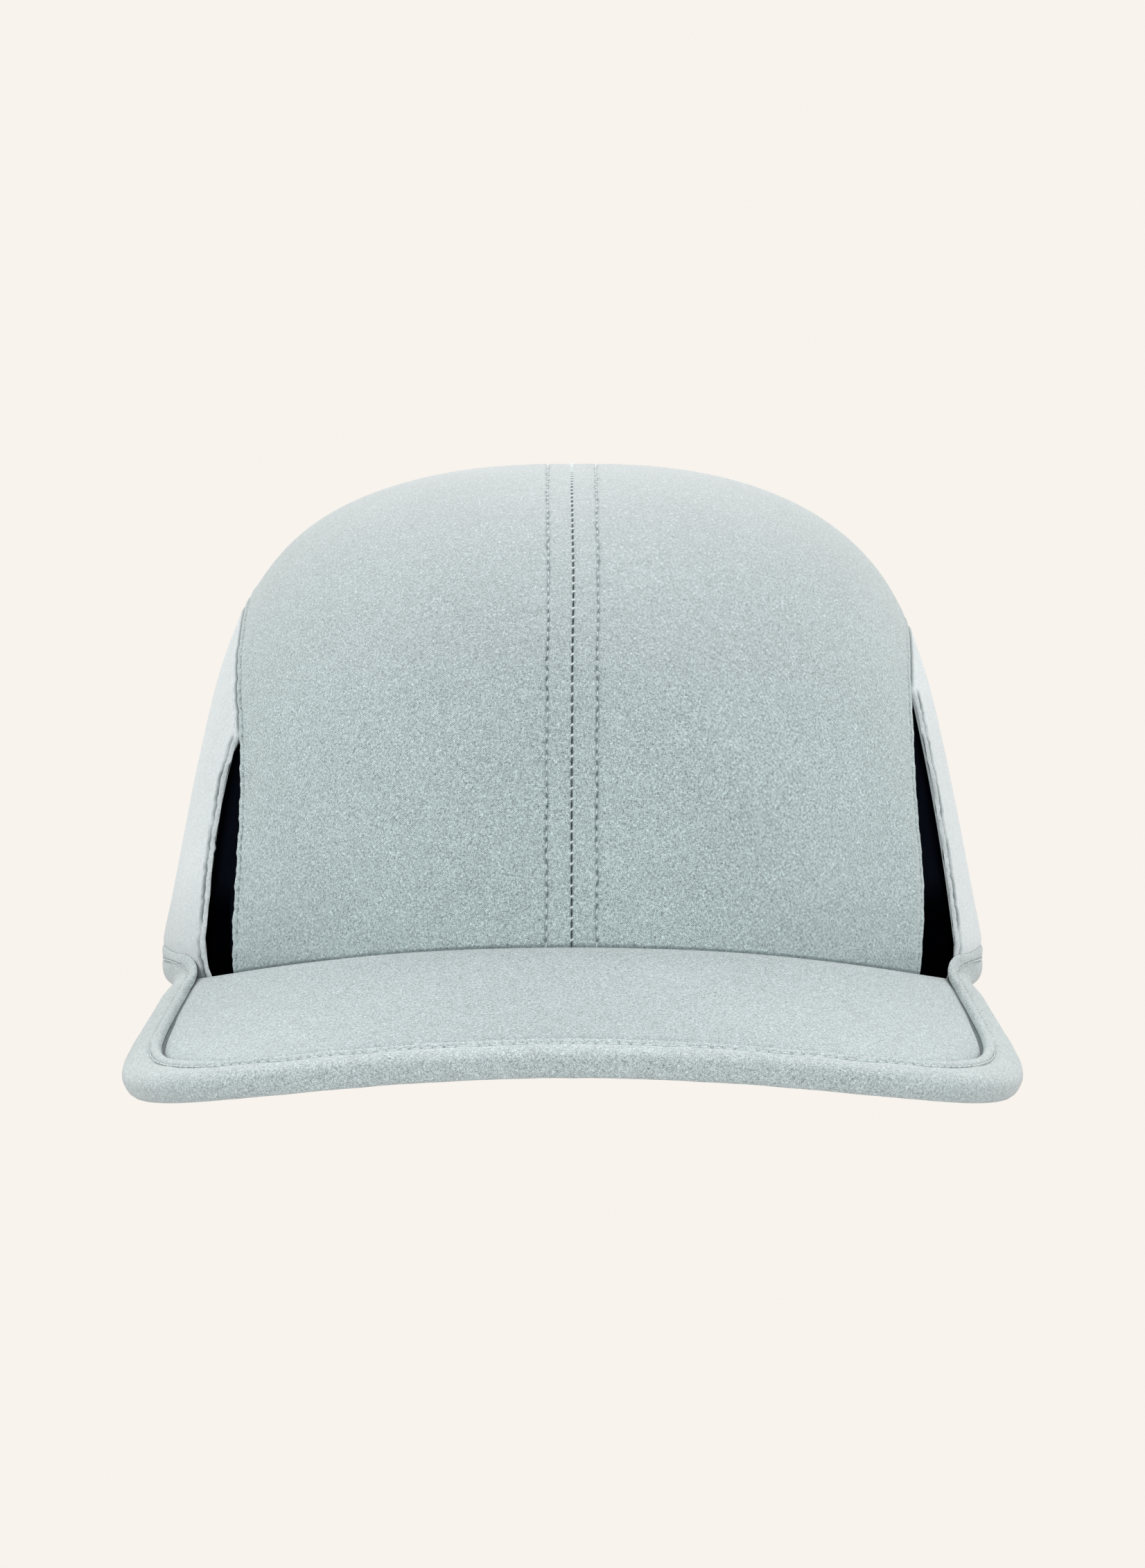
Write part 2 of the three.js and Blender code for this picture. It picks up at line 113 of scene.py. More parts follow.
# How the cap rests: tilted back on its peak's corners and the back of its hem
REST_TILT = math.radians(3.9487788)
REST_LIFT = 5.938917
REST_SHIFT = 32.725255

# Stitches
STITCH_PITCH = 2.2
SEAM_PITCH = 2.15
TOPSTITCH = 4.9
TOP_SEAM_STITCH = 1.95
SIDE_STITCH_FRONT = 1.35
SIDE_STITCH_REAR = 1.75
SIDE_GROOVE = 1.75
VENT_GROOVE = 2.6
MIDDLE_STITCH_REACH = 0.34
MIDDLE_STITCH_LEAN = 0.22
THREAD = 0.11
THREAD_SIDES = 6
SLIT = 0.055
DRIFT_WIDTH = 26.0


def lerp(a, b, t):
    return a + (b - a) * t


def clamp01(t):
    return np.clip(t, 0.0, 1.0)


def ease(t):
    t = clamp01(t)
    return t * t * (3 - 2 * t)


def bump(x, width):
    return np.exp(-((x / width) ** 2))


def bisect(low, high, test):
    """Where a test turns from true to false between low and high, for arrays."""
    low, high = np.broadcast_arrays(np.asarray(low, float), np.asarray(high, float))
    for _ in range(BISECT_STEPS):
        middle = (low + high) / 2
        true = test(middle)
        low, high = np.where(true, middle, low), np.where(true, high, middle)
    return low


def turned(vectors):
    """Directions of the level frame, as the cap rests."""
    x, y, z = vectors[..., 0], vectors[..., 1], vectors[..., 2]
    c, s = math.cos(REST_TILT), math.sin(REST_TILT)
    return np.stack([x, y * c + z * s, z * c - y * s], -1)


def settled(points):
    """Points of the level frame in millimetres, as the cap rests, in metres."""
    points = turned(points) + (0.0, REST_SHIFT, REST_LIFT)
    points[..., 2] = np.maximum(points[..., 2], 0.0)
    return points * MM


def unit(vectors):
    return vectors / np.maximum(np.linalg.norm(vectors, axis=-1, keepdims=True), 1e-12)


def lengths_along(points):
    """Length along each line of points, from its first point."""
    step = np.linalg.norm(np.diff(points, axis=-2), axis=-1)
    return np.concatenate([np.zeros(step.shape[:-1] + (1,)), np.cumsum(step, axis=-1)], -1)


def spaced(length, coarse, marks):
    """Places from 0 to length, coarse apart, and closer near each mark (place, half width, gap)."""
    place = np.linspace(0, length, 4001)
    gap = np.full_like(place, coarse)
    for at, half, fine in marks:
        gap = np.minimum(gap, lerp(fine, coarse, clamp01((abs(place - at) - half) / 4.0)))
    count = np.concatenate([[0], np.cumsum(np.diff(place) / gap[1:])])
    total = max(int(round(count[-1])), 2)
    return np.interp(np.linspace(0, count[-1], total + 1), count, place)


def fitted(columns, widest, width, keep):
    """Columns made for the widest row, fitted to rows of other widths with both ends kept as they are."""
    width = np.asarray(width)[..., None]
    keep = np.minimum(keep, width / 2.2)
    share = clamp01((columns - keep) / (widest - 2 * keep))
    ends = np.where(columns < keep, columns, width - (widest - columns))
    middle = keep + share * (width - 2 * keep)
    inner = (columns >= keep) & (columns <= widest - keep)
    return np.clip(np.where(inner, middle, ends), 0, width)


def waves(u, v, seed, scale):
    """Smooth soft unevenness, about -1 to 1, with waves about scale long."""
    total = np.zeros(np.broadcast(u, v).shape)
    draw = np.random.default_rng(seed)
    for _ in range(9):
        turn, length, phase = draw.uniform(0, math.pi), scale * draw.uniform(0.7, 1.9), draw.uniform(0, 6.28)
        total += np.sin((u * math.cos(turn) + v * math.sin(turn)) * 2 * math.pi / length + phase)
    return total / 4.2


# Crown surface

def reach(kind, z):
    foot, taper, fullness = REACHES[kind]
    z = np.maximum(z, 0.0)
    tuck = HEM_TUCK_DEPTH * clamp01(1 - z / HEM_TUCK_HEIGHT) ** HEM_TUCK_POWER
    dome = np.maximum(1 - (z / CROWN_HEIGHT) ** fullness, 1e-9) ** (1 / CROWN_ROUNDNESS)
    return (foot - taper * z - tuck) * dome


def reach_along(y, z):
    return np.where(y < 0, reach("front", z), reach("back", z))


def crown_level(x, y, z, grow=0.0):
    """Under 1 inside the crown's outer surface, and over 1 outside it."""
    level = (x / (reach("side", z) + grow)) ** 2 + (y / (reach_along(y, z) + grow)) ** 2
    return np.where(z < CROWN_HEIGHT, level, 9.0)


def crown_at(y, z, sign):
    across = np.sqrt(np.maximum(1 - (y / reach_along(y, z)) ** 2, 0))
    return np.stack([sign * reach("side", z) * across, y + 0 * z, z + 0 * y], -1)


def crown_normal(points):
    x, y, z = points[..., 0], points[..., 1], points[..., 2]
    low = np.minimum(z, CROWN_HEIGHT - 0.02)
    slope = (crown_level(x, y, low) - crown_level(x, y, low - 0.01)) / 0.01
    return unit(np.stack([2 * x / reach("side", low) ** 2, 2 * y / reach_along(y, low) ** 2, slope], -1))


def seam_x(side, y):
    return lerp(side["seam"], SEAM_BACK_X, (np.maximum(y, 0) / SEAM_BACK_Y) ** 2)


def along_ray(side, angle, share):
    """Where a ray in the side view meets the crown at a share of the way from the middle to the seam."""
    angle, share = np.broadcast_arrays(angle, share)
    place = lambda r: (-r * np.cos(angle), 30 + r * np.sin(angle))
    offset = lambda y: SLIT + share * (seam_x(side, y) - SLIT - 0.1)

    def inside(r):
        y, z = place(r)
        return crown_level(offset(y), y, z) < 1

    radius = bisect(np.zeros(angle.shape), 200.0, inside)
    y, z = place(radius)
    return np.stack([side["sign"] * offset(y), y, z], -1)


def peak_top(x, y):
    forward = PEAK_ROOT_Y - y
    return PEAK_ROOT_Z - PEAK_FALL * forward - (PEAK_ARCH - PEAK_ARCH_FADE * forward) * x * x


def peak_normal(x, y):
    d = 0.01
    slope_x = (peak_top(x + d, y) - peak_top(x - d, y)) / (2 * d)
    slope_y = (peak_top(x, y + d) - peak_top(x, y - d)) / (2 * d)
    return unit(np.stack([-slope_x, -slope_y, np.ones_like(slope_x)], -1))


def panel_foot(x, y):
    under_peak = peak_top(x, y) - PEAK_FOAM - FOOT_UNDER_PEAK
    change = ease((y - FOOT_CHANGE[0]) / (FOOT_CHANGE[1] - FOOT_CHANGE[0]))
    return lerp(under_peak, HEM_SLOT, change)


def foot_angle(side, share, in_front):
    angle_of = (lambda a: a) if in_front else (lambda a: math.pi - a)

    def above(angle):
        p = along_ray(side, angle_of(angle), share)
        return p[..., 2] > panel_foot(p[..., 0], p[..., 1])

    return angle_of(bisect(np.full(share.shape, math.pi / 3), -math.pi / 3, above))


# Meshes

def add_object(name, data):
    made = bpy.data.objects.new(name, data)
    bpy.context.scene.collection.objects.link(made)
    return made


def new_piece(name, points, quads, triangles, cloth):
    """A closed mesh object from points in metres, turned to face outwards, with its place in the cloth; the
    third part of that is painted shade.
    """
    quads = np.asarray(quads, np.int32).reshape(-1, 4)
    triangles = np.asarray(triangles, np.int32).reshape(-1, 3)
    all_triangles = np.concatenate([quads[:, [0, 1, 2]], quads[:, [0, 2, 3]], triangles])
    a, b, c = (points[all_triangles[:, i]] for i in range(3))
    if np.einsum("ij,ij->i", a, np.cross(b, c)).sum() < 0:
        quads, triangles = quads[:, ::-1], triangles[:, ::-1]
    mesh = bpy.data.meshes.new(name)
    mesh.vertices.add(len(points))
    mesh.vertices.foreach_set("co", points.astype(np.float32).ravel())
    corners = np.concatenate([quads.ravel(), triangles.ravel()])
    mesh.loops.add(len(corners))
    mesh.loops.foreach_set("vertex_index", corners)
    starts = np.concatenate([np.arange(len(quads)) * 4, len(quads) * 4 + np.arange(len(triangles)) * 3])
    mesh.polygons.add(len(starts))
    mesh.polygons.foreach_set("loop_start", starts.astype(np.int32))
    mesh.update(calc_edges=True)
    mesh.validate()
    mesh.polygons.foreach_set("use_smooth", np.ones(len(mesh.polygons), bool))
    place = mesh.attributes.new("cloth", "FLOAT_VECTOR", "POINT")
    place.data.foreach_set("vector", cloth.astype(np.float32).ravel())
    piece = add_object(name, mesh)
    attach(piece, "root")
    return piece


def rim_triangles(fine, coarse, picks):
    """Triangles between a fine line of points and a coarse one that has the fine line's picks."""
    made = []
    for j in range(len(picks) - 1):
        first, last = picks[j], picks[j + 1]
        middle = (first + last) // 2
        made += [(fine[k], fine[k + 1], coarse[j]) for k in range(first, middle)]
        made.append((fine[middle], coarse[j + 1], coarse[j]))
        made += [(fine[k], fine[k + 1], coarse[j + 1]) for k in range(middle, last)]
    return made


def picked(count, step):
    picks = list(range(0, count - 1, step)) + [count - 1]
    if len(picks) > 2 and picks[-1] - picks[-2] < step // 2:
        picks.pop(-2)
    return picks


def grid_quads(index):
    return np.stack([index[:-1, :-1], index[:-1, 1:], index[1:, 1:], index[1:, :-1]], -1).reshape(-1, 4)


def wall(name, outer, inner, cloth, row_step, column_step):
    """A closed wall: a fine outer grid, and an inner one that keeps only some rows and columns."""
    rows, columns = outer.shape[:2]
    row_picks, column_picks = picked(rows, row_step), picked(columns, column_step)
    kept = np.ix_(row_picks, column_picks)
    front = np.arange(rows * columns).reshape(rows, columns)
    back = rows * columns + np.arange(len(row_picks) * len(column_picks)).reshape(len(row_picks), -1)
    triangles = []
    triangles += rim_triangles(front[:, 0], back[:, 0], row_picks)
    triangles += rim_triangles(front[::-1, -1], back[::-1, -1], [rows - 1 - i for i in row_picks[::-1]])
    triangles += rim_triangles(front[0, ::-1], back[0, ::-1], [columns - 1 - i for i in column_picks[::-1]])
    triangles += rim_triangles(front[-1, :], back[-1, :], column_picks)
    quads = np.concatenate([grid_quads(front), grid_quads(back)[:, ::-1]])
    points = np.concatenate([outer.reshape(-1, 3), inner[kept].reshape(-1, 3)])
    both_cloths = np.concatenate([cloth.reshape(-1, 3), cloth[kept].reshape(-1, 3)])
    return new_piece(name, settled(points), quads, triangles, both_cloths)


def threads(name, starts, ends, normals, radius, rise, sink=0.0):
    """Stitches as short round threads that dip into the cloth at both ends, in one mesh."""
    share = np.array([0.0, 0.14, 0.5, 0.86, 1.0])
    height = np.array([-1.7, 0.35, 1.0, 0.35, -1.7]) * rise - sink
    width = np.array([0.5, 0.95, 1.0, 0.95, 0.5]) * radius
    along = unit(ends - starts)
    up = unit(normals - along * (normals * along).sum(-1, keepdims=True))
    across = np.cross(along, up)
    centre = starts[:, None] + (ends - starts)[:, None] * share[:, None] + up[:, None] * height[:, None]
    sides = THREAD_SIDES
    turn = np.arange(sides) * 2 * math.pi / sides
    ring = up[:, None, None] * np.cos(turn)[:, None] + across[:, None, None] * np.sin(turn)[:, None]
    points = centre[:, :, None] + ring * width[:, None, None]
    count, rings = len(starts), len(share)
    index = np.arange(count * rings * sides).reshape(count, rings, sides)
    following = np.roll(index, -1, axis=2)
    quads = np.stack([index[:, :-1], following[:, :-1], following[:, 1:], index[:, 1:]], -1).reshape(-1, 4)
    first, last = index[:, 0], index[:, -1]
    caps = []
    for k in range(1, sides - 1):
        caps.append(np.stack([first[:, 0], first[:, k + 1], first[:, k]], -1))
        caps.append(np.stack([last[:, 0], last[:, k], last[:, k + 1]], -1))
    number, lengthwise = np.arange(count)[:, None, None] * 1.0, share[None, :, None] * 2.2
    cloth = np.stack(np.broadcast_arrays(number, lengthwise, np.zeros((count, rings, sides))), -1)
    return new_piece(name, settled(points.reshape(-1, 3)), quads, np.concatenate(caps), cloth.reshape(-1, 3))


def point_at(at, places, points):
    """Where a line of points with known places along it is, at one place or at several."""
    return np.stack([np.interp(at, places, points[:, k]) for k in range(3)], -1)


def line_in(points, places, at):
    """The line through a grid of points where each row's places have the value asked for."""
    at = np.broadcast_to(at, len(places))
    return np.stack([point_at(at[i], places[i], points[i]) for i in range(len(places))])


class Line:
    """A line of points with the cloth's normals, read by length along it."""

    def __init__(self, points, normals=None):
        self.points = points
        self.normals = crown_normal(points) if normals is None else normals
        self.lengths = lengths_along(points)

    def at(self, length):
        return point_at(length, self.lengths, self.points), unit(point_at(length, self.lengths, self.normals))

    def stitches(self, pitch, part, start=0.0, end=None, side_step=0.0, jitter=0.0):
        """Starts, ends and normals of stitches that cover a part of each pitch."""
        end = self.lengths[-1] if end is None else end
        draw = np.random.default_rng(1)
        at = np.arange(start + pitch / 2, end - pitch / 2, pitch)
        a, up = self.at(at - pitch * part / 2)
        b, _ = self.at(at + pitch * part / 2)
        across = np.cross(unit(b - a), up)
        shift = draw.uniform(-jitter, jitter, (len(at), 1))
        return a + across * (shift - side_step), b + across * (shift + side_step), up


class Edge:
    """Distance of points from a line, and the length along the line at the nearest place."""

    def __init__(self, points):
        self.points, self.lengths = points, lengths_along(points)
        self.tree = KDTree(len(points))
        for i, p in enumerate(points):
            self.tree.insert(p, i)
        self.tree.balance()

    def measure(self, grid, within):
        flat = grid.reshape(-1, 3)
        distance, length = np.full(len(flat), 1e3), np.zeros(len(flat))
        chosen = np.flatnonzero(within.ravel())
        near = np.array([self.tree.find(flat[i])[1] for i in chosen])
        last = len(self.points) - 1
        for step in (-1, 0):
            first = np.clip(near + step, 0, last - 1)
            a, b = self.points[first], self.points[first + 1]
            share = ((flat[chosen] - a) * (b - a)).sum(-1) / np.maximum(((b - a) ** 2).sum(-1), 1e-12)
            share = clamp01(share)
            apart = np.linalg.norm(flat[chosen] - (a + (b - a) * share[:, None]), axis=-1)
            better = apart < distance[chosen]
            distance[chosen] = np.where(better, apart, distance[chosen])
            at = self.lengths[first] + share * (self.lengths[first + 1] - self.lengths[first])
            length[chosen] = np.where(better, at, length[chosen])
        return distance.reshape(grid.shape[:2]), length.reshape(grid.shape[:2])


# Folds and stitch lines in the cloth

def drift(z):
    """The middle seam wanders a little sideways on its way up the front."""
    return -0.18 + 0.36 * bump(z - 84, 14) + 0.08 * bump(z - 58, 10)


def seam_drift(u, z):
    """How far the cloth beside the middle seam goes along with it."""
    return drift(z) * bump(u, DRIFT_WIDTH)


def rolled(distance, radius):
    """How far a rolled edge falls away, near the edge."""
    into = clamp01(1 - distance / radius)
    return radius * (1 - np.sqrt(np.maximum(1 - into**2, 0)))


def stitched(distance, length, pitch, width, depth, pit):
    """A stitched groove: a soft line with a pit at each needle hole."""
    between_holes = 0.5 - 0.5 * np.cos(2 * math.pi * length / pitch)
    pits = (1 - between_holes) ** 5
    return bump(distance, width) * (depth + pit * pits)


def groove_shade(distance, length, width, seed):
    """Painted shade along a stitched line: dashes between needle holes, stronger in some places than others.
    """
    dash = 0.5 + 0.5 * np.cos(2 * math.pi * length / STITCH_PITCH)
    uneven = clamp01(0.85 + 0.4 * waves(length, 0 * length, seed, 9.0))
    return bump(distance, width) * (0.22 + 0.78 * dash**1.2) * uneven


# Cloth panels

TOP_WIDEST = 104.0
ROW_GAP = 0.37


def top_grid(side):
    """The base grid of a top panel: places in the cloth, points and normals."""
    shares = np.linspace(0, 1, 61)
    front, back = foot_angle(side, shares, True), foot_angle(side, shares, False)

    def surface(share, s):
        angle = lerp(np.interp(share, shares, front), np.interp(share, shares, back), s)
        return along_ray(side, angle, share)

    fine = np.linspace(0, 1, 1201)
    run = lengths_along(surface(np.full(1201, 0.05), fine))
    rows = int(round(run[-1] / ROW_GAP))
    v = np.linspace(0, run[-1], rows + 1)
    s = np.interp(v, run, fine)
    columns = spaced(TOP_WIDEST, 1.5, [(0, 0.9, 0.2), (TOPSTITCH, 0.9, 0.2), (TOP_WIDEST, 3.2, 0.25)])
    coarse = 1 - (1 - np.linspace(0, 1, 161)) ** 1.9
    sparse = np.linspace(0, rows, 141).round().astype(int)
    sample = surface(coarse[None, :], s[sparse][:, None])
    across = lengths_along(sample)
    place = fitted(columns, TOP_WIDEST, across[:, -1], 8.0)
    share = np.stack([np.interp(place[i], across[i], coarse) for i in range(len(sparse))])
    on_all_rows = lambda grid: np.stack([np.interp(np.arange(rows + 1), sparse, row) for row in grid.T], -1)
    share, u = on_all_rows(share), on_all_rows(place)
    return u, v[:, None] + 0 * u, surface(share, s[:, None] + 0 * share)


def warp(side, points, from_seam):
    """The sewn edge at the side wanders a little."""
    z, in_front = points[..., 2], ease((-10 - points[..., 1]) / 25)
    heights, moves = zip(*side["drift"])
    slow = np.mean([np.interp(z + shift, heights, moves) for shift in (-5, -2.5, 0, 2.5, 5)], axis=0)
    quick = 0.13 * np.sin(z * 0.83 + 0.4) + 0.09 * np.sin(z * 1.9) + 0.05 * np.sin(z * 3.7 + 2)
    moved = points.copy()
    wander = slow * bump(from_seam, 9.0) + quick * side["rough"] * bump(from_seam, 3.0)
    moved[..., 0] += side["sign"] * in_front * wander
    return moved


def darkest(*shades):
    """The darkest of several shades at every point."""
    return np.maximum.reduce(np.broadcast_arrays(*shades))


def above_vent(side, points):
    """1 where the side seam is closed above the vent, in front, and 0 elsewhere."""
    return ease((points[..., 2] - side["vent_height"] + 1) / 3) * (points[..., 1] < 20)


def top_shade(side, points, u, v, t, w, line, seam_line):
    """Painted shade on a top panel: along its stitches and seams, where it meets the peak and over it, low on
    its outer side and beside the vent.
    """
    x, y, z = points[..., 0], points[..., 1], points[..., 2]
    rough = side["rough"]
    sunk = ease((z - 78) / 14)
    patchy = clamp01(0.7 + 0.5 * waves(v, 0 * v, 12 + side["sign"], 3.0))
    wandering = line + 0.16 * np.sin(v * 1.3) * sunk
    between = ease((0.62 - np.cos(2 * math.pi * v / SEAM_PITCH)) / 0.5)
    over_peak = (z - panel_foot(x, y) - PEAK_FOAM - FOOT_UNDER_PEAK) / 0.9
    return darkest(
        groove_shade(t - seam_line, w, lerp(0.2, 0.3, rough), 8) * lerp(0.7, 1.0, rough),
        groove_shade(u - line, v, 0.23, 9 + side["sign"]) * (1 - sunk),
        0.6 * sunk * patchy * bump(u - wandering, 0.32),
        0.95 * bump(u, 0.15) * between,
        0.6 * bump(np.maximum(over_peak, 0), 0.3) * (y < -38),
        0.17 * bump(over_peak, 16) * ease((abs(x) - 12) / 45) * (y < -20),
        0.8 * above_vent(side, points) * bump(t, 0.4),
        side["low"] * ease((58 - z) / 40) * ease((u - 10) / 25) * (y < 0),
        side["swell"] * 0.10 * bump(t - 17, 11) * bump(z - 8, 13) * (y < 0))


def top_panel(side):
    u, v, points = top_grid(side)
    edge = Edge(points[:, -1])
    t, w = edge.measure(points, u > u[:, -1:] - 14)
    normals = crown_normal(points)
    z = points[..., 2]

    line = TOPSTITCH + 0.09 * np.sin(v * 0.35 + side["sign"]) + 0.06 * np.sin(v * 1.1)
    line += 0.11 * np.sin(math.pi * v / STITCH_PITCH) * ease((90 - z) / 25)
    plateau = ease(u / 0.9) * ease((TOPSTITCH + 0.2 - u) / 0.9)
    crown_of = 1 - ((u - TOPSTITCH / 2) / (TOPSTITCH / 2 + 0.4)) ** 2
    flush = 1 - 0.85 * ease((z - 88) / 18)
    rise = plateau * (0.08 + 0.14 * crown_of) * flush
    rise += 0.14 * bump(u - TOPSTITCH - 1.3, 1.2) * (u > 2.5) * flush
    rise -= rolled(u, 0.28) * 0.8 * flush
    shallow = lerp(1.0, 0.45, ease((z - 85) / 20))
    rise -= stitched(u - line, v, STITCH_PITCH, 0.34, 0.34, 0.30) * shallow
    rise += 0.035 * np.sin(v * 2 * math.pi / STITCH_PITCH) * bump(u - line, 2.6)
    rise += 0.05 * waves(u * 0.35, v, 7, 3.4) * bump(u - TOPSTITCH - 3, 9.0)

    rough = side["rough"]
    seam_line = lerp(1.5, 1.95, rough) + rough * (0.16 * np.sin(w * 0.55) + 0.10 * np.sin(w * 1.7 + 1))
    rise += 0.24 * ease(t / 0.5) * ease((2.1 - t) / 0.7) * rough
    rise -= rolled(t, 0.5)
    rise -= stitched(t - seam_line, w, STITCH_PITCH, 0.30, 0.36 * rough, 0.22 * rough)
    rise += 0.22 * bump(t - 3.3, 1.1) * rough
    rise += 0.05 * rough * waves(w, 0 * w, 19, 4.0) * bump(t - seam_line, 1.6)

    rise += 0.22 * waves(u, v, 3 + side["sign"], 46.0) * ease(u / 16) * ease(t / 14)
    rise += side["swell"] * bump(t - 5.0, 3.4) * bump(z - 25, 12) * (points[..., 1] < 0)
    outer = points + normals * rise[..., None]
    slit = 0.05 * (0.5 - 0.5 * np.cos(2 * math.pi * v / SEAM_PITCH)) * bump(u, 0.5)
    outer[..., 0] += side["sign"] * slit + seam_drift(u, z)
    outer = warp(side, outer, t)
    dark = top_shade(side, points, u, v, t, w, line, seam_line)
    cloth = np.stack([u * side["sign"], v, dark], -1)
    inner = points - normals * CLOTH
    inner[..., 0] += seam_drift(u, z) - side["sign"] * (SLIT - 0.01) * bump(u, 0.4)
    piece = wall(f"crown_top_{side['name']}", outer, warp(side, inner, t), cloth, 8, 3)

    base = points.copy()
    base[..., 0] += seam_drift(u, z)
    base = warp(side, base, t)
    seam_stitches = line_in(base, u, u[:, -1] - TOP_SEAM_STITCH)
    return piece, Line(line_in(base, u, TOPSTITCH)), Line(base[:, 0]), Line(seam_stitches)


def seam_front_y(side, z):
    share = clamp01(side["seam"] / reach("side", z))
    return -reach("front", z) * np.sqrt(1 - share**2)


def vent_gap(side, z):
    return side["vent_width"] * (1 - clamp01(z / side["vent_height"]) ** side["vent_fullness"])


def vent_back_y(side, z):
    wander = 0.22 * np.sin(z * 0.42 + 2) + 0.12 * np.sin(z * 1.15)
    gap = vent_gap(side, z) * side["vent_open"] * (1 - 0.34 * ease((10.5 - z) / 8.5) ** 1.3)
    return seam_front_y(side, z) + np.maximum(gap + wander * clamp01(gap / 2), 0.12)


def side_grid(side):
    """The base grid of a side panel: its rows' places along the cloth, and its points."""
    seam_top = float(bisect(0.0, CROWN_HEIGHT, lambda z: crown_level(side["seam"] + 0.1, 0.0, z) < 1))
    heights = np.concatenate([[HEM_SLOT], spaced(seam_top - 2.0, 1.0, [(seam_top, 22, 0.32)]) + 2.0])
    heights[-1] = seam_top - 0.02
    front_y = vent_back_y(side, heights)
    back_y = bisect(0 * heights, REACHES["back"][0],
                    lambda y: crown_level(seam_x(side, y) + 0.1, y, heights) < 1)
    front_angle = np.arccos(np.clip(-front_y / reach("front", heights), -1, 1))
    back_angle = np.arccos(np.clip(-back_y / reach("back", heights), -1, 1))

    def on_row(share):
        angle = lerp(front_angle[:, None], back_angle[:, None], share)
        spread = -np.cos(angle)
        z = heights[:, None] + 0 * share
        y = spread * reach_along(spread, z)
        low = lerp(panel_foot(side["seam"] + 0 * y, y), 6.0, clamp01((z - HEM_SLOT) / (6.0 - HEM_SLOT)))
        return crown_at(y, np.where(z < 6.0, low, z), side["sign"])

    sample = on_row(np.linspace(0, 1, 301)[None, :] + 0 * heights[:, None])
    run = lengths_along(sample)
    widest = run[:, -1].max()
    columns = spaced(widest, 1.5, [(0, 3.6, 0.25), (widest, 3.2, 0.28)])
    place = fitted(columns, widest, run[:, -1], 9.0)
    share = np.stack([np.interp(place[i], run[i], np.linspace(0, 1, 301)) for i in range(len(heights))])
    return place, on_row(share)


def side_shade(side, points, t, w, line, at_vent):
    """Painted shade on a side panel: along its stitches, in the roll and groove beside the vent and at its
    foot.
    """
    # Uneven strength of the painted shade in the groove beside the vent
    patchy_shade = clamp01(0.85 + 0.4 * waves(w, 0 * w, 18, 6.0))
    beside = clamp01(1.8 * at_vent)
    return darkest(
        groove_shade(t - line, w, 0.22, 5) * 0.75 * (1 - at_vent),
        beside * patchy_shade * bump(t - line, 1.05),
        0.22 * beside * ease((line - t) / 0.6),
        0.75 * above_vent(side, points) * bump(t, 0.5),
        side["shade"] * ease((30 - points[..., 2]) / 22) * ease((10 - points[..., 1]) / 25))


def side_panel(side):
    u, points = side_grid(side)
    ordered = np.concatenate([points[:, 0], points[-1, 1:-1], points[::-1, -1]])
    keep = np.concatenate([[True], np.linalg.norm(np.diff(ordered, axis=0), axis=1) > 0.02])
    edge = Edge(ordered[keep])
    t, w = edge.measure(points, np.ones(points.shape[:2], bool))
    normals = crown_normal(points)
    z = points[..., 2]
    at_vent = clamp01(vent_gap(side, z) / 1.6) * ease((-12 - points[..., 1]) / 8)

    line = lerp(SIDE_GROOVE, VENT_GROOVE, at_vent)
    line = line + 0.15 * np.sin(w * 0.6 + 1) + lerp(0.09, 0.3, at_vent) * np.sin(w * 1.9)
    rise = lerp(0.22, 0.16, at_vent) * ease(t / 0.55) * ease((line + 0.25 - t) / 0.55)
    rise -= rolled(t, lerp(0.5, 0.3, at_vent))
    rise -= stitched(t - line, w, STITCH_PITCH, lerp(0.28, 0.7, at_vent), lerp(0.28, 0.5, at_vent), 0.24)
    rise += 0.14 * bump(t - line - 1.2, 1.0)
    rise += lerp(0.05, 0.12, at_vent) * np.sin(w * 2 * math.pi / STITCH_PITCH) * bump(t - line, 1.5)
    rise += 0.3 * at_vent * waves(w, 0 * w, 17, 5.0) * bump(t, 1.6)
    rise += 0.20 * waves(u, z, 11 + side["sign"], 40.0) * ease(t / 14) * ease((z - 12) / 8)
    outer = points + normals * (rise * ease((z - 2) / 6))[..., None]
    from_seam = np.where(at_vent > 0, 1e3, t) + 30 * at_vent
    cloth = np.stack([u * side["sign"], z, side_shade(side, points, t, w, line, at_vent)], -1)
    thin = lerp(CLOTH, VENT_EDGE_CLOTH, bump(t, 3.0) * at_vent)
    inner = warp(side, points - normals * thin[..., None], from_seam)
    piece = wall(f"crown_side_{side['name']}", warp(side, outer, from_seam), inner, cloth, 6, 4)

    base = warp(side, points, from_seam)
    wide = u[:, -1] > 6
    base, u = base[wide], u[wide]
    rear = line_in(base, u, u[:, -1] - SIDE_STITCH_REAR)
    return piece, Line(line_in(base, u, SIDE_STITCH_FRONT)), Line(rear[::-1])


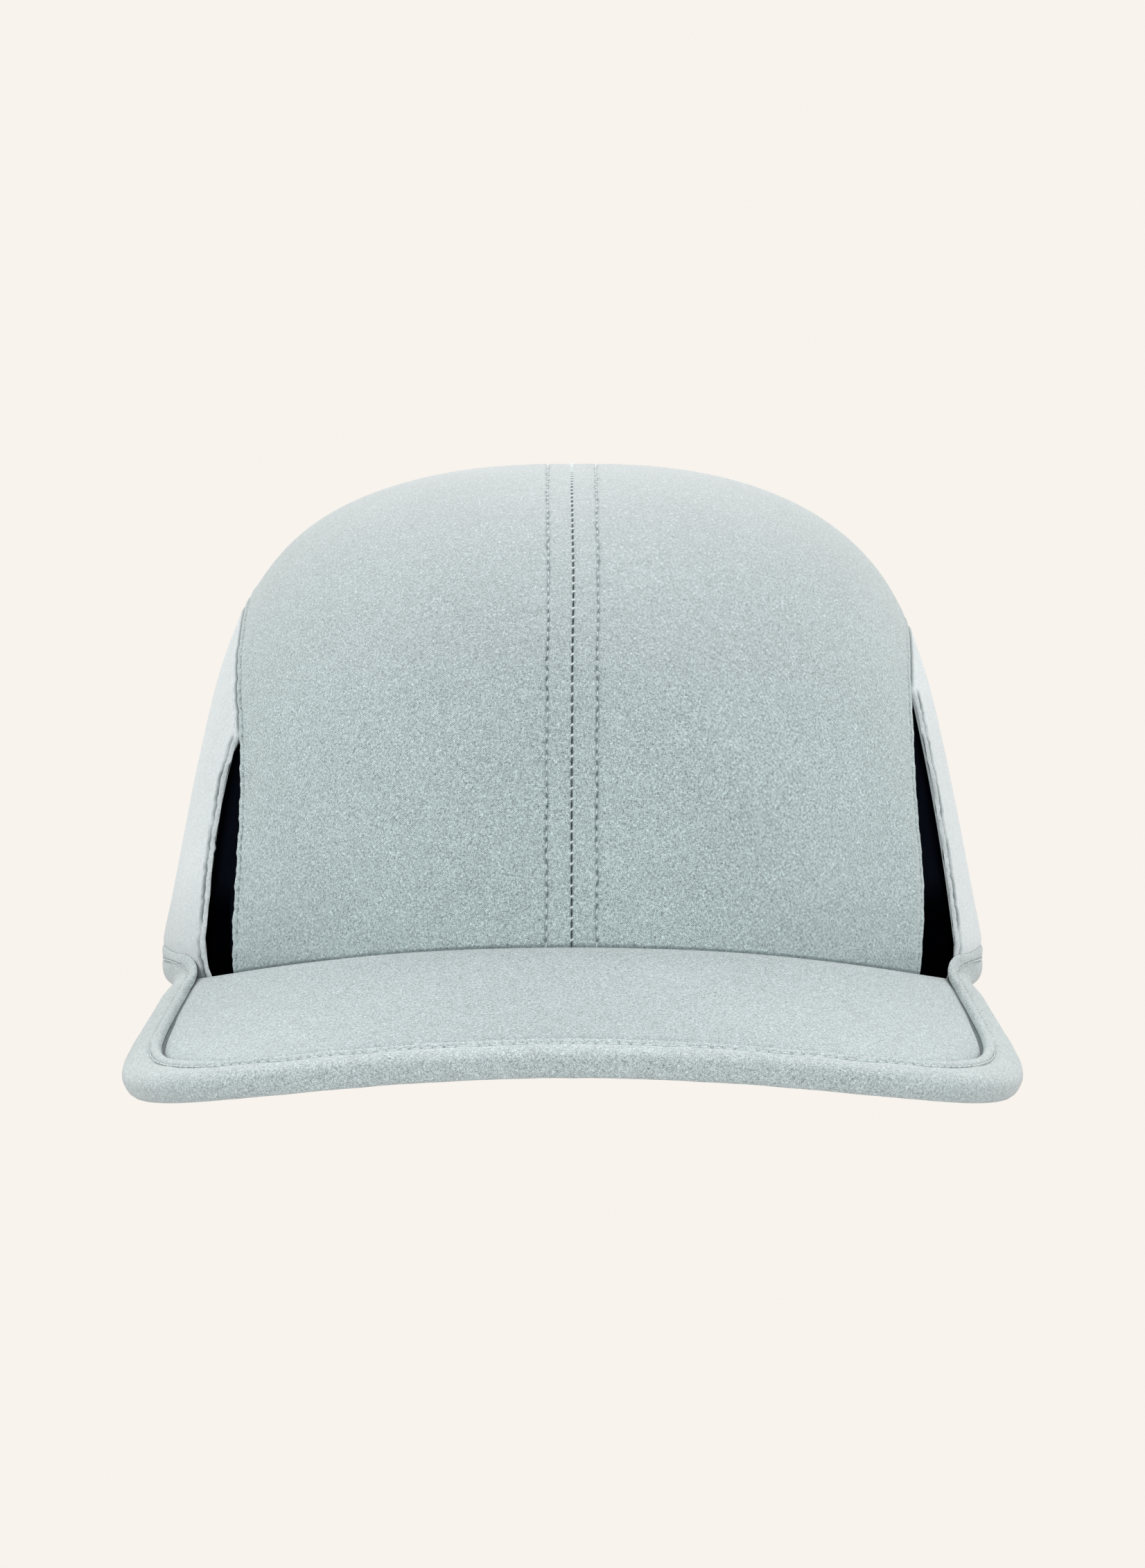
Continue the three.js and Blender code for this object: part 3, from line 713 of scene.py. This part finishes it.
def vent_mesh(side):
    """The net behind a vent: it sags between its edges, and is sewn in at the surface at its foot."""
    rows, columns = 120, 36
    z = np.linspace(VENT_FOOT, side["vent_height"] + VENT_LAP, rows)[:, None] + np.zeros(columns)
    gap = vent_gap(side, z) * side["vent_open"]
    front = seam_front_y(side, z) - VENT_LAP
    back = seam_front_y(side, z) + gap + VENT_LAP
    y = lerp(front, back, np.linspace(0, 1, columns))
    points = crown_at(y, z, side["sign"])
    normals = crown_normal(points)
    behind = y - seam_front_y(side, z)
    fold = ease((behind - 3.0 - 0.12 * z) / 1.2) * ease((26 - z) / 8)
    sag = 0.35 + 0.45 * waves(y, z * 0.5, 21, 9.0) ** 2 + 1.6 * fold
    sag = sag * ease((behind + 1.0) / 3) * ease((gap + 1.0 - behind) / 3)
    inside = ease((behind - 0.6) / 1.2) * ease((gap - 0.6 - behind) / 1.2)
    sewn_in = 1 - 1.1 * inside * ease((4 - z) / 4)
    outer = points - normals * ((CLOTH + GAP + sag) * sewn_in)[..., None]
    inner = outer - normals * MESH_CLOTH
    # The fold also goes to the material, as painted shade
    cloth = np.stack([y, z, fold], -1)
    return wall(f"vent_net_{side['name']}", outer, inner, cloth, 4, 4)


# Peak and edge band

def bezier(t):
    pull = PEAK_SIDE[1] - CORNER_PULL_SIDE
    corners = [(0.0, PEAK_TIP_Y), (CORNER_PULL_FRONT, PEAK_TIP_Y), (PEAK_SIDE[0], pull), PEAK_SIDE]
    weights = [(1 - t) ** 3, 3 * t * (1 - t) ** 2, 3 * t * t * (1 - t), t**3]
    return np.stack([sum(w * c[i] for w, c in zip(weights, corners)) for i in (0, 1)], -1)


def peak_edge_x(y):
    return lerp(NECK[0], PEAK_SIDE[0], ease((NECK[1] - y) / (NECK[1] - PEAK_SIDE[1])))


def half_outline(step, to_y):
    """Places on the peak's outer edge from its tip to a place along its side: x, y and outward x, y."""
    t = np.linspace(0, 1, 2001)
    curve = bezier(t)
    run = lengths_along(curve)
    t = np.interp(np.linspace(0, run[-1], int(run[-1] / step) + 1), run, t)
    point, tangent = bezier(t), unit(bezier(t + 1e-4) - bezier(t - 1e-4))
    front = np.concatenate([point, np.stack([tangent[:, 1], -tangent[:, 0]], -1)], -1)
    y = np.arange(PEAK_SIDE[1] + step, to_y, step)
    lean = (peak_edge_x(y + 0.01) - peak_edge_x(y - 0.01)) / 0.02
    out = unit(np.stack([np.ones_like(lean), -lean], -1))
    side = np.concatenate([np.stack([peak_edge_x(y), y], -1), out], -1)
    return np.concatenate([front, side])


def on_peak(place, inset, rise):
    """Points of the peak: set in from its outer edge, and above the middle of its thickness."""
    x, y, out_x, out_y = (place[..., i] for i in range(4))
    fall = peak_top(x, y) - peak_top(x - out_x, y - out_y)
    share = inset / np.hypot(1, fall)
    px, py = x - out_x * share, y - out_y * share
    base = np.stack([px, py, peak_top(px, py)], -1)
    return base + peak_normal(px, py) * np.asarray(rise - PEAK_FOAM / 2)[..., None]


def on_hem(y, z, rise):
    spread = clamp01(abs(y) / reach_along(y, 0 * y))
    x = reach("side", z) * np.sqrt(np.maximum(1 - spread**2, 0))
    foot = np.stack([x, np.sign(y) * reach_along(y, z) * spread, z], -1)
    return foot + crown_normal(foot) * (rise - CLOTH / 2)[..., None]


def band_turned(y, inset):
    share = inset / BAND_REACH
    start, end = (lerp(outer, inner, share) for outer, inner in zip(BAND_TURN_OUTER, BAND_TURN_INNER))
    return ease((y - start) / (end - start))


# Outline of the band's section: (inset, share of its half thickness), from its inner edge outwards and back
BAND_TOP = [
    (9.05, 0.62), (9.0, 0.82), (8.75, 0.98), (8.35, 1.05), (7.9, 1.06), (7.45, 1.02), (7.1, 0.95),
    (6.85, 0.89), (6.6, 0.86), (6.35, 0.89), (6.0, 0.96), (5.4, 1.02), (4.6, 1.05), (3.6, 1.05), (2.7, 1.02),
    (1.9, 0.96), (1.25, 0.87), (0.7, 0.73), (0.3, 0.54), (0.07, 0.32), (0.0, 0.08),
]
BAND_BOTTOM = [
    (0.0, -0.2), (0.12, -0.46), (0.42, -0.67), (0.95, -0.83), (1.8, -0.94), (3.2, -1.0), (5.2, -1.0),
    (6.35, -0.96), (6.6, -0.9), (6.85, -0.96), (7.6, -1.0), (8.5, -0.97), (8.95, -0.84), (9.05, -0.64),
]
BAND_STITCH = 6.6
BAND_SLOT = 1.4
LIP_NARROWED = 1.35

# The band's lower leaf is cut back where it turns from the peak to the hem
LEAF_END = 9.05
LEAF_CUT = 4.2
LEAF_CUT_Y = -42.0


def band_stations(step):
    """Half of the band's places from the tip of the peak to the middle of the back."""
    outline = half_outline(step, BAND_TURN_OUTER[1])
    start = math.acos(-BAND_TURN_OUTER[1] / float(reach_along(BAND_TURN_OUTER[1], 0.0)))
    count = int(190 / step)
    angle = np.linspace(start, math.pi, count + 1)
    y = -np.cos(angle) * reach_along(angle - math.pi / 2, 0 * angle)
    hem = np.stack([peak_edge_x(np.minimum(y, NECK[1])), y, np.ones_like(y), np.zeros_like(y)], -1)
    return np.concatenate([outline, hem])


def band_widened(y):
    """How much wider the band is at a place along the side of the peak."""
    return BAND_WIDEN * ease((y + 160) / 35) * ease(-y / 40)


def lip_narrowed(y):
    """How much narrower the lip between the stitch line and the peak is at a place along the side."""
    return LIP_NARROWED * ease((y + 152) / 60) * ease((-12 - y) / 20)


def band_points(place, inset, rise_share, rise_extra=0.0, inner=None):
    """Points of the band's section, or of its slot on the side that inner says, at places round the cap."""
    y = place[..., 1]
    inset = inset + 0 * y
    turn = band_turned(y, inset)
    inset = inset + band_widened(y) * (inset / BAND_REACH) ** 1.5
    inset = inset - lip_narrowed(y) * ease((inset - BAND_STITCH) / 2.6)
    at_hem = BAND_HALF_HEM - 0.7 * ease((inset - 4.5) / 4.5) - 0.55 * ease((3.5 - inset) / 3.5)
    half = lerp(BAND_HALF_PEAK, at_hem, turn)
    rise = rise_share * half + rise_extra
    if inner is not None:
        rise = inner * lerp(PEAK_FOAM / 2 + 0.12, CLOTH / 2 + 0.15, turn)
    return lerp(on_peak(place, inset, rise), on_hem(y, inset, rise), turn[..., None])


def edge_band():
    """The band as one closed ring, and the line of its stitches along one half of it."""
    half = band_stations(0.5)
    run = lengths_along(band_points(half, BAND_STITCH, 0.9))
    grids = []
    leaf = LEAF_END - LEAF_CUT * bump(half[:, 1] - LEAF_CUT_Y, 22.0)
    for inset, share in BAND_TOP + BAND_BOTTOM:
        near = bump(inset - BAND_STITCH, 0.3) if share > 0 else 0.0
        pits = stitched(0.0, run, STITCH_PITCH, 0.3, 0.0, 0.34) * near
        outline = ease(inset / 3.0)
        soft = (0.02 + 0.06 * outline) * waves(run, inset * 2.0, 31, 16.0)
        soft = soft + 0.04 * outline * waves(run, inset * 3.0, 32, 5.0)
        wander = (0.10 * np.sin(run * 0.31) + 0.06 * np.sin(run * 0.93 + 1)) * ease(inset / 5.0)
        at = np.clip(inset + wander * (0.5 < inset < 8.9), 0, 9.1)
        if share < 0:
            at = np.minimum(at, leaf)
        grids.append(band_points(half, at, share, soft * (abs(share) > 0.3) - pits))
    slot = np.linspace(BAND_REACH + 0.05, BAND_SLOT, 8)
    for inset, way in [(at, -1) for at in slot] + [(at, 1) for at in slot[::-1]]:
        into = inset if way > 0 else np.minimum(inset, leaf)
        grids.append(band_points(half, into, 0.0, inner=way))
    section = np.stack(grids, 1)
    loop = np.concatenate([section, section[1:-1][::-1] * MIRRORED])
    rows, columns = loop.shape[:2]
    index = np.arange(rows * columns).reshape(rows, columns)
    ring = np.concatenate([index, index[:1]])
    ring = np.concatenate([ring, ring[:, :1]], 1)
    around = lengths_along(section)
    # Painted shade along the band's stitch line, stronger towards the sides
    dark = np.zeros(around.shape)
    strong = lerp(0.45, 0.95, ease((abs(half[:, 0]) - 25) / 35))
    for k, (inset, _) in enumerate(BAND_TOP):
        dark[:, k] = strong * groove_shade(inset - BAND_STITCH, run, 0.46, 6)
    half_cloth = np.stack([around, run[:, None] + 0 * around, dark], -1)
    cloth = np.concatenate([half_cloth, half_cloth[1:-1][::-1] * np.array([1.0, -1.0, 1.0])])
    points = settled(loop.reshape(-1, 3))
    piece = new_piece("edge_binding", points, grid_quads(ring), [], cloth.reshape(-1, 3))
    top = band_points(half, BAND_STITCH, 0.93)
    return piece, Line(top, unit(band_points(half, BAND_STITCH, 1.3) - top))


def peak_pad():
    """The foam peak, the same on both sides: a little full, and creased along the band's lip, with painted
    shade in the crease, where it meets the crown and across its middle.
    """
    half = half_outline(0.8, -44.0)
    right = np.concatenate([half[1:][::-1], half])
    sign = np.concatenate([-np.ones(len(half) - 1), np.ones(len(half))])
    near_neck = ease((right[:, 1] + 62.0) / 18.0)
    rim = on_peak(right, lerp(1.6, 5.2, near_neck), 0.0)
    angle = np.arctan2(rim[:, 0], -rim[:, 1] * 0.72)
    root = np.stack([np.sin(angle) * 80.0, -np.cos(angle) * 92.0], -1)

    def outside(t):
        x, y = lerp(rim[:, 0], root[:, 0], t), lerp(rim[:, 1], root[:, 1], t)
        return crown_level(x, y, peak_top(x, y), grow=0.35) > 1

    crossing = bisect(np.zeros(len(right)), 1.0, outside)
    long = np.hypot(rim[:, 0] - root[:, 0], rim[:, 1] - root[:, 1]) * crossing
    widest = long.max()
    columns = spaced(widest, 1.1, [(10.0, 4.0, 0.28), (widest, 1.2, 0.18)])
    run = fitted(columns, widest, long, 14.0)
    t = run / np.maximum(long, 1e-6)[:, None] * crossing[:, None]
    x = lerp(rim[:, :1], root[:, :1], t)
    y = lerp(rim[:, 1:2], root[:, 1:2], t)
    to_crown = long[:, None] - run
    base = np.stack([x, y, peak_top(x, y)], -1)
    normals = peak_normal(x, y)
    outer_edge = on_peak(right, 0.0, PEAK_FOAM / 2)
    middle = len(half) - 1
    edge = Edge(outer_edge[middle:])
    inset, along = edge.measure(base, np.ones(base.shape[:2], bool))
    edge_y = np.interp(along, edge.lengths, outer_edge[middle:, 1])
    from_lip = inset - BAND_REACH - band_widened(edge_y) + lip_narrowed(edge_y)
    deep = lerp(0.25, 1.0, ease((edge_y + 162) / 26))
    open_lip = 1 - 0.85 * ease((edge_y + 84) / 18)
    puff = 0.55 * ease((from_lip + 0.2) / 4.0) * ease(to_crown / 5.0)
    puff -= 0.8 * deep * open_lip * bump(from_lip + 0.1, 0.75)
    puff += 0.12 * waves(x, y, 41, 34.0) * ease(to_crown / 6) * ease(from_lip / 6)
    puff -= rolled(to_crown, 0.9) * 0.9
    # Painted shade: in the crease along the lip, in a thin line where the peak meets the crown, and broad
    # across the peak's middle below the crown
    crease = deep * (0.75 * bump(from_lip, 0.35) + 0.10 * bump(from_lip, 1.6))
    dark = darkest(crease, 0.8 * bump(to_crown, 0.35), 0.17 * bump(x, 42.0))
    top = base + normals * puff[..., None]
    bottom = base - normals * PEAK_FOAM
    flip = np.where(sign[:, None, None] < 0, MIRRORED, 1.0)
    cloth = np.stack([x * sign[:, None], y, dark], -1)
    return wall("peak_pad", top * flip, bottom * flip, cloth, 3, 3)


# Materials

class Tree:
    """A material's nodes, made one call each. A call gives the output that the next one takes."""

    def __init__(self, name):
        self.material = bpy.data.materials.new(name)
        self.material.use_nodes = True
        self.nodes, self.links = self.material.node_tree.nodes, self.material.node_tree.links
        self.shader = self.nodes["Principled BSDF"]

    def add(self, kind, settings=None, **inputs):
        node = self.nodes.new(kind)
        for key, value in (settings or {}).items():
            setattr(node, key, value)
        for key, value in inputs.items():
            numbered = key[0] == "i" and key[1:].isdigit()
            self.set(node.inputs[int(key[1:]) if numbered else key], value)
        return node.outputs[0]

    def source(self, kind, output, settings=None):
        """One of the outputs of a node that has no inputs."""
        self.add(kind, settings)
        return self.nodes[-1].outputs[output]

    def split(self, vector):
        """The three parts of a vector."""
        self.add("ShaderNodeSeparateXYZ", {}, i0=vector)
        return self.nodes[-1].outputs

    def mix(self, factor, a, b, blend="MIX"):
        """A mixture of two colours."""
        node = self.nodes.new("ShaderNodeMix")
        node.data_type, node.blend_type = "RGBA", blend
        for name, value in (("Factor", factor), ("A", a), ("B", b)):
            self.set(node.inputs[name], value)
        return node.outputs["Result"]

    def ranged(self, value, low, high, to_low, to_high):
        """A value moved from one range to another, and held inside it."""
        ends = {"From Min": low, "From Max": high, "To Min": to_low, "To Max": to_high}
        return self.add("ShaderNodeMapRange", {}, Value=value, **ends)

    def set(self, socket, value):
        if isinstance(value, bpy.types.NodeSocket):
            self.links.new(value, socket)
        else:
            socket.default_value = value

    def math(self, operation, a, b=0.0, c=0.0):
        return self.add("ShaderNodeMath", {"operation": operation}, i0=a, i1=b, i2=c)

    def scaled(self, vector, x, y, z):
        return self.add("ShaderNodeMapping", {}, Vector=vector, Scale=(x, y, z))

    def noise(self, vector, scale, detail=2.0, roughness=0.5):
        inputs = {"Vector": vector, "Scale": scale, "Detail": detail, "Roughness": roughness}
        return self.add("ShaderNodeTexNoise", {}, **inputs)

    def finish(self, strength, depth, height, **values):
        """Set the shader's plain values and its fine relief, and give the material."""
        for key, value in values.items():
            self.shader.inputs[key.replace("_", " ")].default_value = value
        normal = self.add("ShaderNodeBump", {}, Strength=strength, Distance=depth, Height=height)
        self.set(self.shader.inputs["Normal"], normal)
        return self.material


def shaded(tree, colour, share):
    """A colour made lighter or darker by a share round 1."""
    grey = tree.add("ShaderNodeCombineColor", {}, Red=share, Green=share, Blue=share)
    return tree.mix(1.0, colour, grey, blend="MULTIPLY")


# Tone that painted shade in grooves, seams and creases turns the cloth towards
SHADE_TONE = (0.022, 0.055, 0.062)
TWILL_PITCH = 0.46
NET_PITCH = 0.5
WEAVE_DEPTH = 0.00006
THREAD_DEPTH = 0.00003
NET_DEPTH = 0.0001


def cloth_material(name, colour, speckle, mottle, twill, sheen, calm=(2, 0.065, 0.112), high=None):
    """Fine woven cloth: thread grain, a faint twill, light flecks and slow unevenness.

    Its grain grows calmer along one axis of the piece between two places, and there its tone turns towards
    another (high), a painted highlight.
    """
    tree = Tree(name)
    place = tree.source("ShaderNodeAttribute", "Vector", {"attribute_name": "cloth"})
    solid = tree.source("ShaderNodeTexCoord", "Object")
    grain = tree.noise(solid, 4700.0, 1.0, 0.7)
    across = tree.noise(tree.scaled(place, 1.5, 5.2, 0.0), 1.0, 1.0)
    along = tree.noise(tree.scaled(place, 5.2, 1.3, 0.0), 1.0, 1.0)
    slow = tree.noise(solid, 34.0, 2.0)
    flecks = tree.noise(solid, 2100.0, 0.0)
    u, v, dark = tree.split(place)
    ribs = tree.math("SINE", tree.math("MULTIPLY", tree.math("ADD", u, v), 2 * math.pi / TWILL_PITCH))
    both_ways = tree.math("MULTIPLY", tree.math("ADD", across, along), 0.55)
    weave = tree.math("ADD", tree.math("MULTIPLY", grain, 1.1), both_ways)
    weave = tree.math("MULTIPLY_ADD", ribs, twill, weave)
    clumps = tree.math("SUBTRACT", tree.noise(solid, 2000.0, 1.0, 0.6), 0.5)
    patches = tree.math("SUBTRACT", tree.noise(solid, 420.0, 2.0, 0.6), 0.5)
    light = tree.math("MULTIPLY", tree.math("SUBTRACT", weave, 1.1), speckle)
    light = tree.math("ADD", light, tree.math("MULTIPLY", clumps, mottle))
    light = tree.math("ADD", light, tree.math("MULTIPLY", patches, mottle * 0.25))
    axis, calm_from, calm_to = calm
    calmer = tree.ranged(tree.math("ABSOLUTE", tree.split(solid)[axis]), calm_from, calm_to, 1.0, 0.45)
    light = tree.math("MULTIPLY", light, calmer)
    fleck = tree.ranged(flecks, 0.66, 0.80, 0.0, speckle * 0.2)
    slow = tree.math("MULTIPLY", tree.math("SUBTRACT", slow, 0.5), 0.14)
    share = tree.math("ADD", tree.math("ADD", light, fleck), tree.math("ADD", slow, 1.0))
    tone = (*colour, 1.0)
    if high is not None:
        tone = tree.mix(calmer, (*high, 1.0), tone)
    # The cloth attribute's third part is painted shade, turning the colour towards the shade tone
    deep = tree.mix(tree.math("MULTIPLY", dark, 0.92), shaded(tree, tone, share), (*SHADE_TONE, 1.0))
    tree.set(tree.shader.inputs["Base Color"], deep)
    return tree.finish(0.75, WEAVE_DEPTH, weave, Roughness=0.86, Specular_IOR_Level=0.25,
                       Sheen_Weight=sheen, Sheen_Roughness=0.45, Sheen_Tint=(1.0, 0.99, 0.97, 1.0))


def thread_material(name, colour):
    """Thread with a faint twist."""
    tree = Tree(name)
    twist = tree.noise(tree.source("ShaderNodeTexCoord", "Object"), 4200.0, 1.0)
    share = tree.math("MULTIPLY_ADD", twist, 0.5, 0.75)
    tree.set(tree.shader.inputs["Base Color"], shaded(tree, (*colour, 1.0), share))
    return tree.finish(0.6, THREAD_DEPTH, twist, Roughness=0.5, Sheen_Weight=0.3)


def mesh_material(name, colour):
    """Fine dark net, streaked along its length, with painted shade in its fold."""
    tree = Tree(name)
    place = tree.source("ShaderNodeAttribute", "Vector", {"attribute_name": "cloth"})
    u, v, fold = tree.split(place)
    ring = lambda value: tree.math("SINE", tree.math("MULTIPLY", value, 2 * math.pi / NET_PITCH))
    net = tree.math("MULTIPLY", ring(u), ring(v))
    streak = tree.noise(tree.scaled(place, 2.2, 0.25, 0.0), 1.0, 2.0)
    share = tree.math("ADD", tree.math("MULTIPLY", net, 0.25), tree.math("MULTIPLY_ADD", streak, 0.9, 0.5))
    share = tree.math("MULTIPLY", share, tree.math("MULTIPLY_ADD", fold, -0.85, 1.0))
    tree.set(tree.shader.inputs["Base Color"], shaded(tree, (*colour, 1.0), share))
    return tree.finish(0.5, NET_DEPTH, net, Roughness=1.0, Specular_IOR_Level=0.0)


def dress(piece, material, slot, *nodes):
    """Give a piece its material, and hide the solids that it stands for. The slot is not used."""
    piece.data.materials.clear()
    piece.data.materials.append(material)
    if nodes:
        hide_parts(*nodes)
    return piece


# Studio

CAMERA_DISTANCE = 1600.0
CAMERA_AIM = np.array([0.0, 0.0, 42.5])
CAMERA_DIP = math.radians(2.0)
CAMERA_LENS = 176.2


def aim(thing, place, direction):
    """Set a camera or light down at a place, looking in a direction."""
    thing.location = place
    thing.rotation_mode = "QUATERNION"
    thing.rotation_quaternion = direction.to_track_quat("-Z", "Y")


def set_camera():
    back = np.array([0.0, -math.cos(CAMERA_DIP), math.sin(CAMERA_DIP)])
    data = bpy.data.cameras.new("camera")
    data.sensor_width, data.lens = 36.0, CAMERA_LENS
    data.clip_start, data.clip_end = 0.05, 60.0
    camera = add_object("camera", data)
    aim(camera, settled(CAMERA_AIM + back * CAMERA_DISTANCE), Vector(-turned(back)))
    bpy.context.scene.camera = camera


def add_light(name, place, target, size, watts, colour=(1.0, 1.0, 1.0)):
    data = bpy.data.lights.new(name, "AREA")
    data.shape, data.size, data.size_y = "RECTANGLE", size[0], size[1]
    data.energy, data.color = watts, colour
    aim(add_object(name, data), place, Vector(target) - Vector(place))


LIGHT_BELOW, LIGHT_ABOVE = 0.70, 0.50
FLOOR_TONE = (0.939, 0.896, 0.847, 1.0)


def add_floor():
    """Floor with a swept back wall. It glows in one even tone, left out of the soft light on the cap."""
    near, far, curve, high = -4.0, 1.6, 1.0, 4.0
    turn = np.linspace(0, math.pi / 2, 25)
    line = [(near, 0.0)] + [(far + curve * math.sin(a), curve * (1 - math.cos(a))) for a in turn]
    line.append((far + curve, high))
    points = np.array([(x, y, z) for y, z in line for x in (-5.0, 5.0)])
    index = np.arange(len(points)).reshape(-1, 2)
    mesh = bpy.data.meshes.new("floor")
    mesh.from_pydata(points.tolist(), [], grid_quads(index).tolist())
    mesh.polygons.foreach_set("use_smooth", np.ones(len(mesh.polygons), bool))
    floor = add_object("floor", mesh)
    floor.visible_diffuse = False
    tree = Tree("pale floor")
    tree.shader.inputs["Base Color"].default_value = (0.0, 0.0, 0.0, 1.0)
    tree.shader.inputs["Roughness"].default_value = 1.0
    tree.shader.inputs["Specular IOR Level"].default_value = 0.0
    tree.shader.inputs["Emission Color"].default_value = FLOOR_TONE
    tree.shader.inputs["Emission Strength"].default_value = 1.0
    mesh.materials.append(tree.material)


def add_surround():
    """Pale surround, a little brighter below than above."""
    world = bpy.data.worlds.new("surround")
    world.use_nodes = True
    nodes, links = world.node_tree.nodes, world.node_tree.links
    parts = nodes.new("ShaderNodeSeparateXYZ")
    links.new(nodes.new("ShaderNodeTexCoord").outputs["Generated"], parts.inputs[0])
    height = nodes.new("ShaderNodeMapRange")
    height.inputs["From Min"].default_value, height.inputs["From Max"].default_value = -0.5, 0.5
    height.inputs["To Min"].default_value, height.inputs["To Max"].default_value = LIGHT_BELOW, LIGHT_ABOVE
    links.new(parts.outputs["Z"], height.inputs["Value"])
    nodes["Background"].inputs["Color"].default_value = (1.0, 0.99, 0.98, 1.0)
    links.new(height.outputs["Result"], nodes["Background"].inputs["Strength"])
    bpy.context.scene.world = world


def add_lights():
    """Soft lights above, at both sides and in front."""
    add_light("top_light", (0.0, 0.5, 1.9), (0.0, 0.0, 0.0), (1.6, 1.4), 15.9, (1.0, 0.968, 0.958))
    add_light("left_light", (-1.45, 0.45, 1.05), (0.0, 0.0, 0.05), (1.1, 1.1), 12.5, (1.0, 0.985, 0.97))
    add_light("right_light", (1.45, 0.45, 1.05), (0.0, 0.0, 0.05), (1.1, 1.1), 12.4, (1.0, 0.975, 0.955))
    add_light("front_light", (0.05, -2.25, 0.5), (0.0, 0.0, 0.05), (0.9, 0.6), 18.0)


# The cap

def sew(name, slot, stitches, radius, rise, sink=0.0):
    """Add one row of stitches in the pale thread."""
    dress(threads(name, *stitches, radius, rise, sink), THREAD_PALE, slot)


bpy.context.scene.view_settings.view_transform = "Standard"
set_camera()
add_floor()
add_surround()
add_lights()

# The crown's tone turns paler and more neutral higher up (high): painted highlight
CROWN_CLOTH = cloth_material("crown cloth", (0.425, 0.512, 0.52), 1.7, 1.0, 0.10, 0.26,
                             high=(0.466, 0.496, 0.516))
SIDE_CLOTH = cloth_material("side cloth", (0.685, 0.747, 0.765), 0.5, 0.4, 0.02, 0.14)
PEAK_CLOTH = cloth_material("peak cloth", (0.405, 0.481, 0.496), 1.8, 1.1, 0.03, 0.35)
BAND_CLOTH = cloth_material("band cloth", (0.463, 0.532, 0.542), 1.5, 1.0, 0.10, 0.25, calm=(0, 0.05, 0.14))
THREAD_PALE = thread_material("thread", (0.72, 0.80, 0.81))
VENT_CLOTH = mesh_material("vent mesh", (0.0029, 0.0037, 0.0070))



def add_side(side):
    """One half of the crown with its stitches. Its edge along the middle seam is given back."""
    name = side["name"]
    top, topstitch, middle_edge, top_seam = top_panel(side)
    dress(top, CROWN_CLOTH, "crown_cloth", f"top_panel_{name}")
    row = topstitch.stitches(STITCH_PITCH, 0.55, side_step=0.06, jitter=0.07)
    sew(f"topstitch_{name}", "crown_cloth", row, THREAD * 1.15, 0.12, 0.22)
    row = top_seam.stitches(STITCH_PITCH, 0.5, side_step=0.06, jitter=0.08)
    sew(f"seam_stitch_{name}", "crown_cloth", row, THREAD * 0.9, 0.1, 0.28)

    body, front_line, rear_line = side_panel(side)
    dress(body, SIDE_CLOTH, "side_cloth", f"side_panel_{name}")
    row = front_line.stitches(STITCH_PITCH, 0.7, start=8.0, jitter=0.05)
    sew(f"side_stitch_front_{name}", "side_cloth", row, THREAD * 0.9, 0.05)
    row = rear_line.stitches(STITCH_PITCH, 0.7, end=rear_line.lengths[-1] - 10, jitter=0.05)
    sew(f"side_stitch_rear_{name}", "side_cloth", row, THREAD * 0.9, 0.05)

    net = vent_mesh(side)
    dress(net, VENT_CLOTH, "vent_mesh", f"vent_mesh_{name}")
    return middle_edge


def add_middle_seam(edge):
    """The stitches that cross the seam between the two top panels."""
    edge.points[:, 0] = drift(edge.points[:, 2])
    at = np.arange(SEAM_PITCH, edge.lengths[-1] - 1, SEAM_PITCH)
    centre, up = edge.at(at)
    across = np.array([MIDDLE_STITCH_REACH, 0.0, 0.0])
    lean = edge.at(at + MIDDLE_STITCH_LEAN)[0] - centre
    ends = centre - across - lean, centre + across + lean
    sew("middle_seam_stitches", "crown_cloth", (*ends, up), 0.2, 0.06)


def add_peak():
    """The padded peak, and the band round its edge and round the crown's, with its stitches."""
    pad = peak_pad()
    dress(pad, PEAK_CLOTH, "peak_cloth", "peak_blade")
    band, band_line = edge_band()
    dress(band, BAND_CLOTH, "band_cloth", "edge_band")
    half = band_line.stitches(STITCH_PITCH, 0.78, jitter=0.06)
    both = [np.concatenate([part, part * MIRRORED]) for part in half]
    sew("band_stitches", "band_cloth", both, THREAD, 0.07)


middle_edges = [add_side(side) for side in SIDES]
add_middle_seam(middle_edges[0])
add_peak()
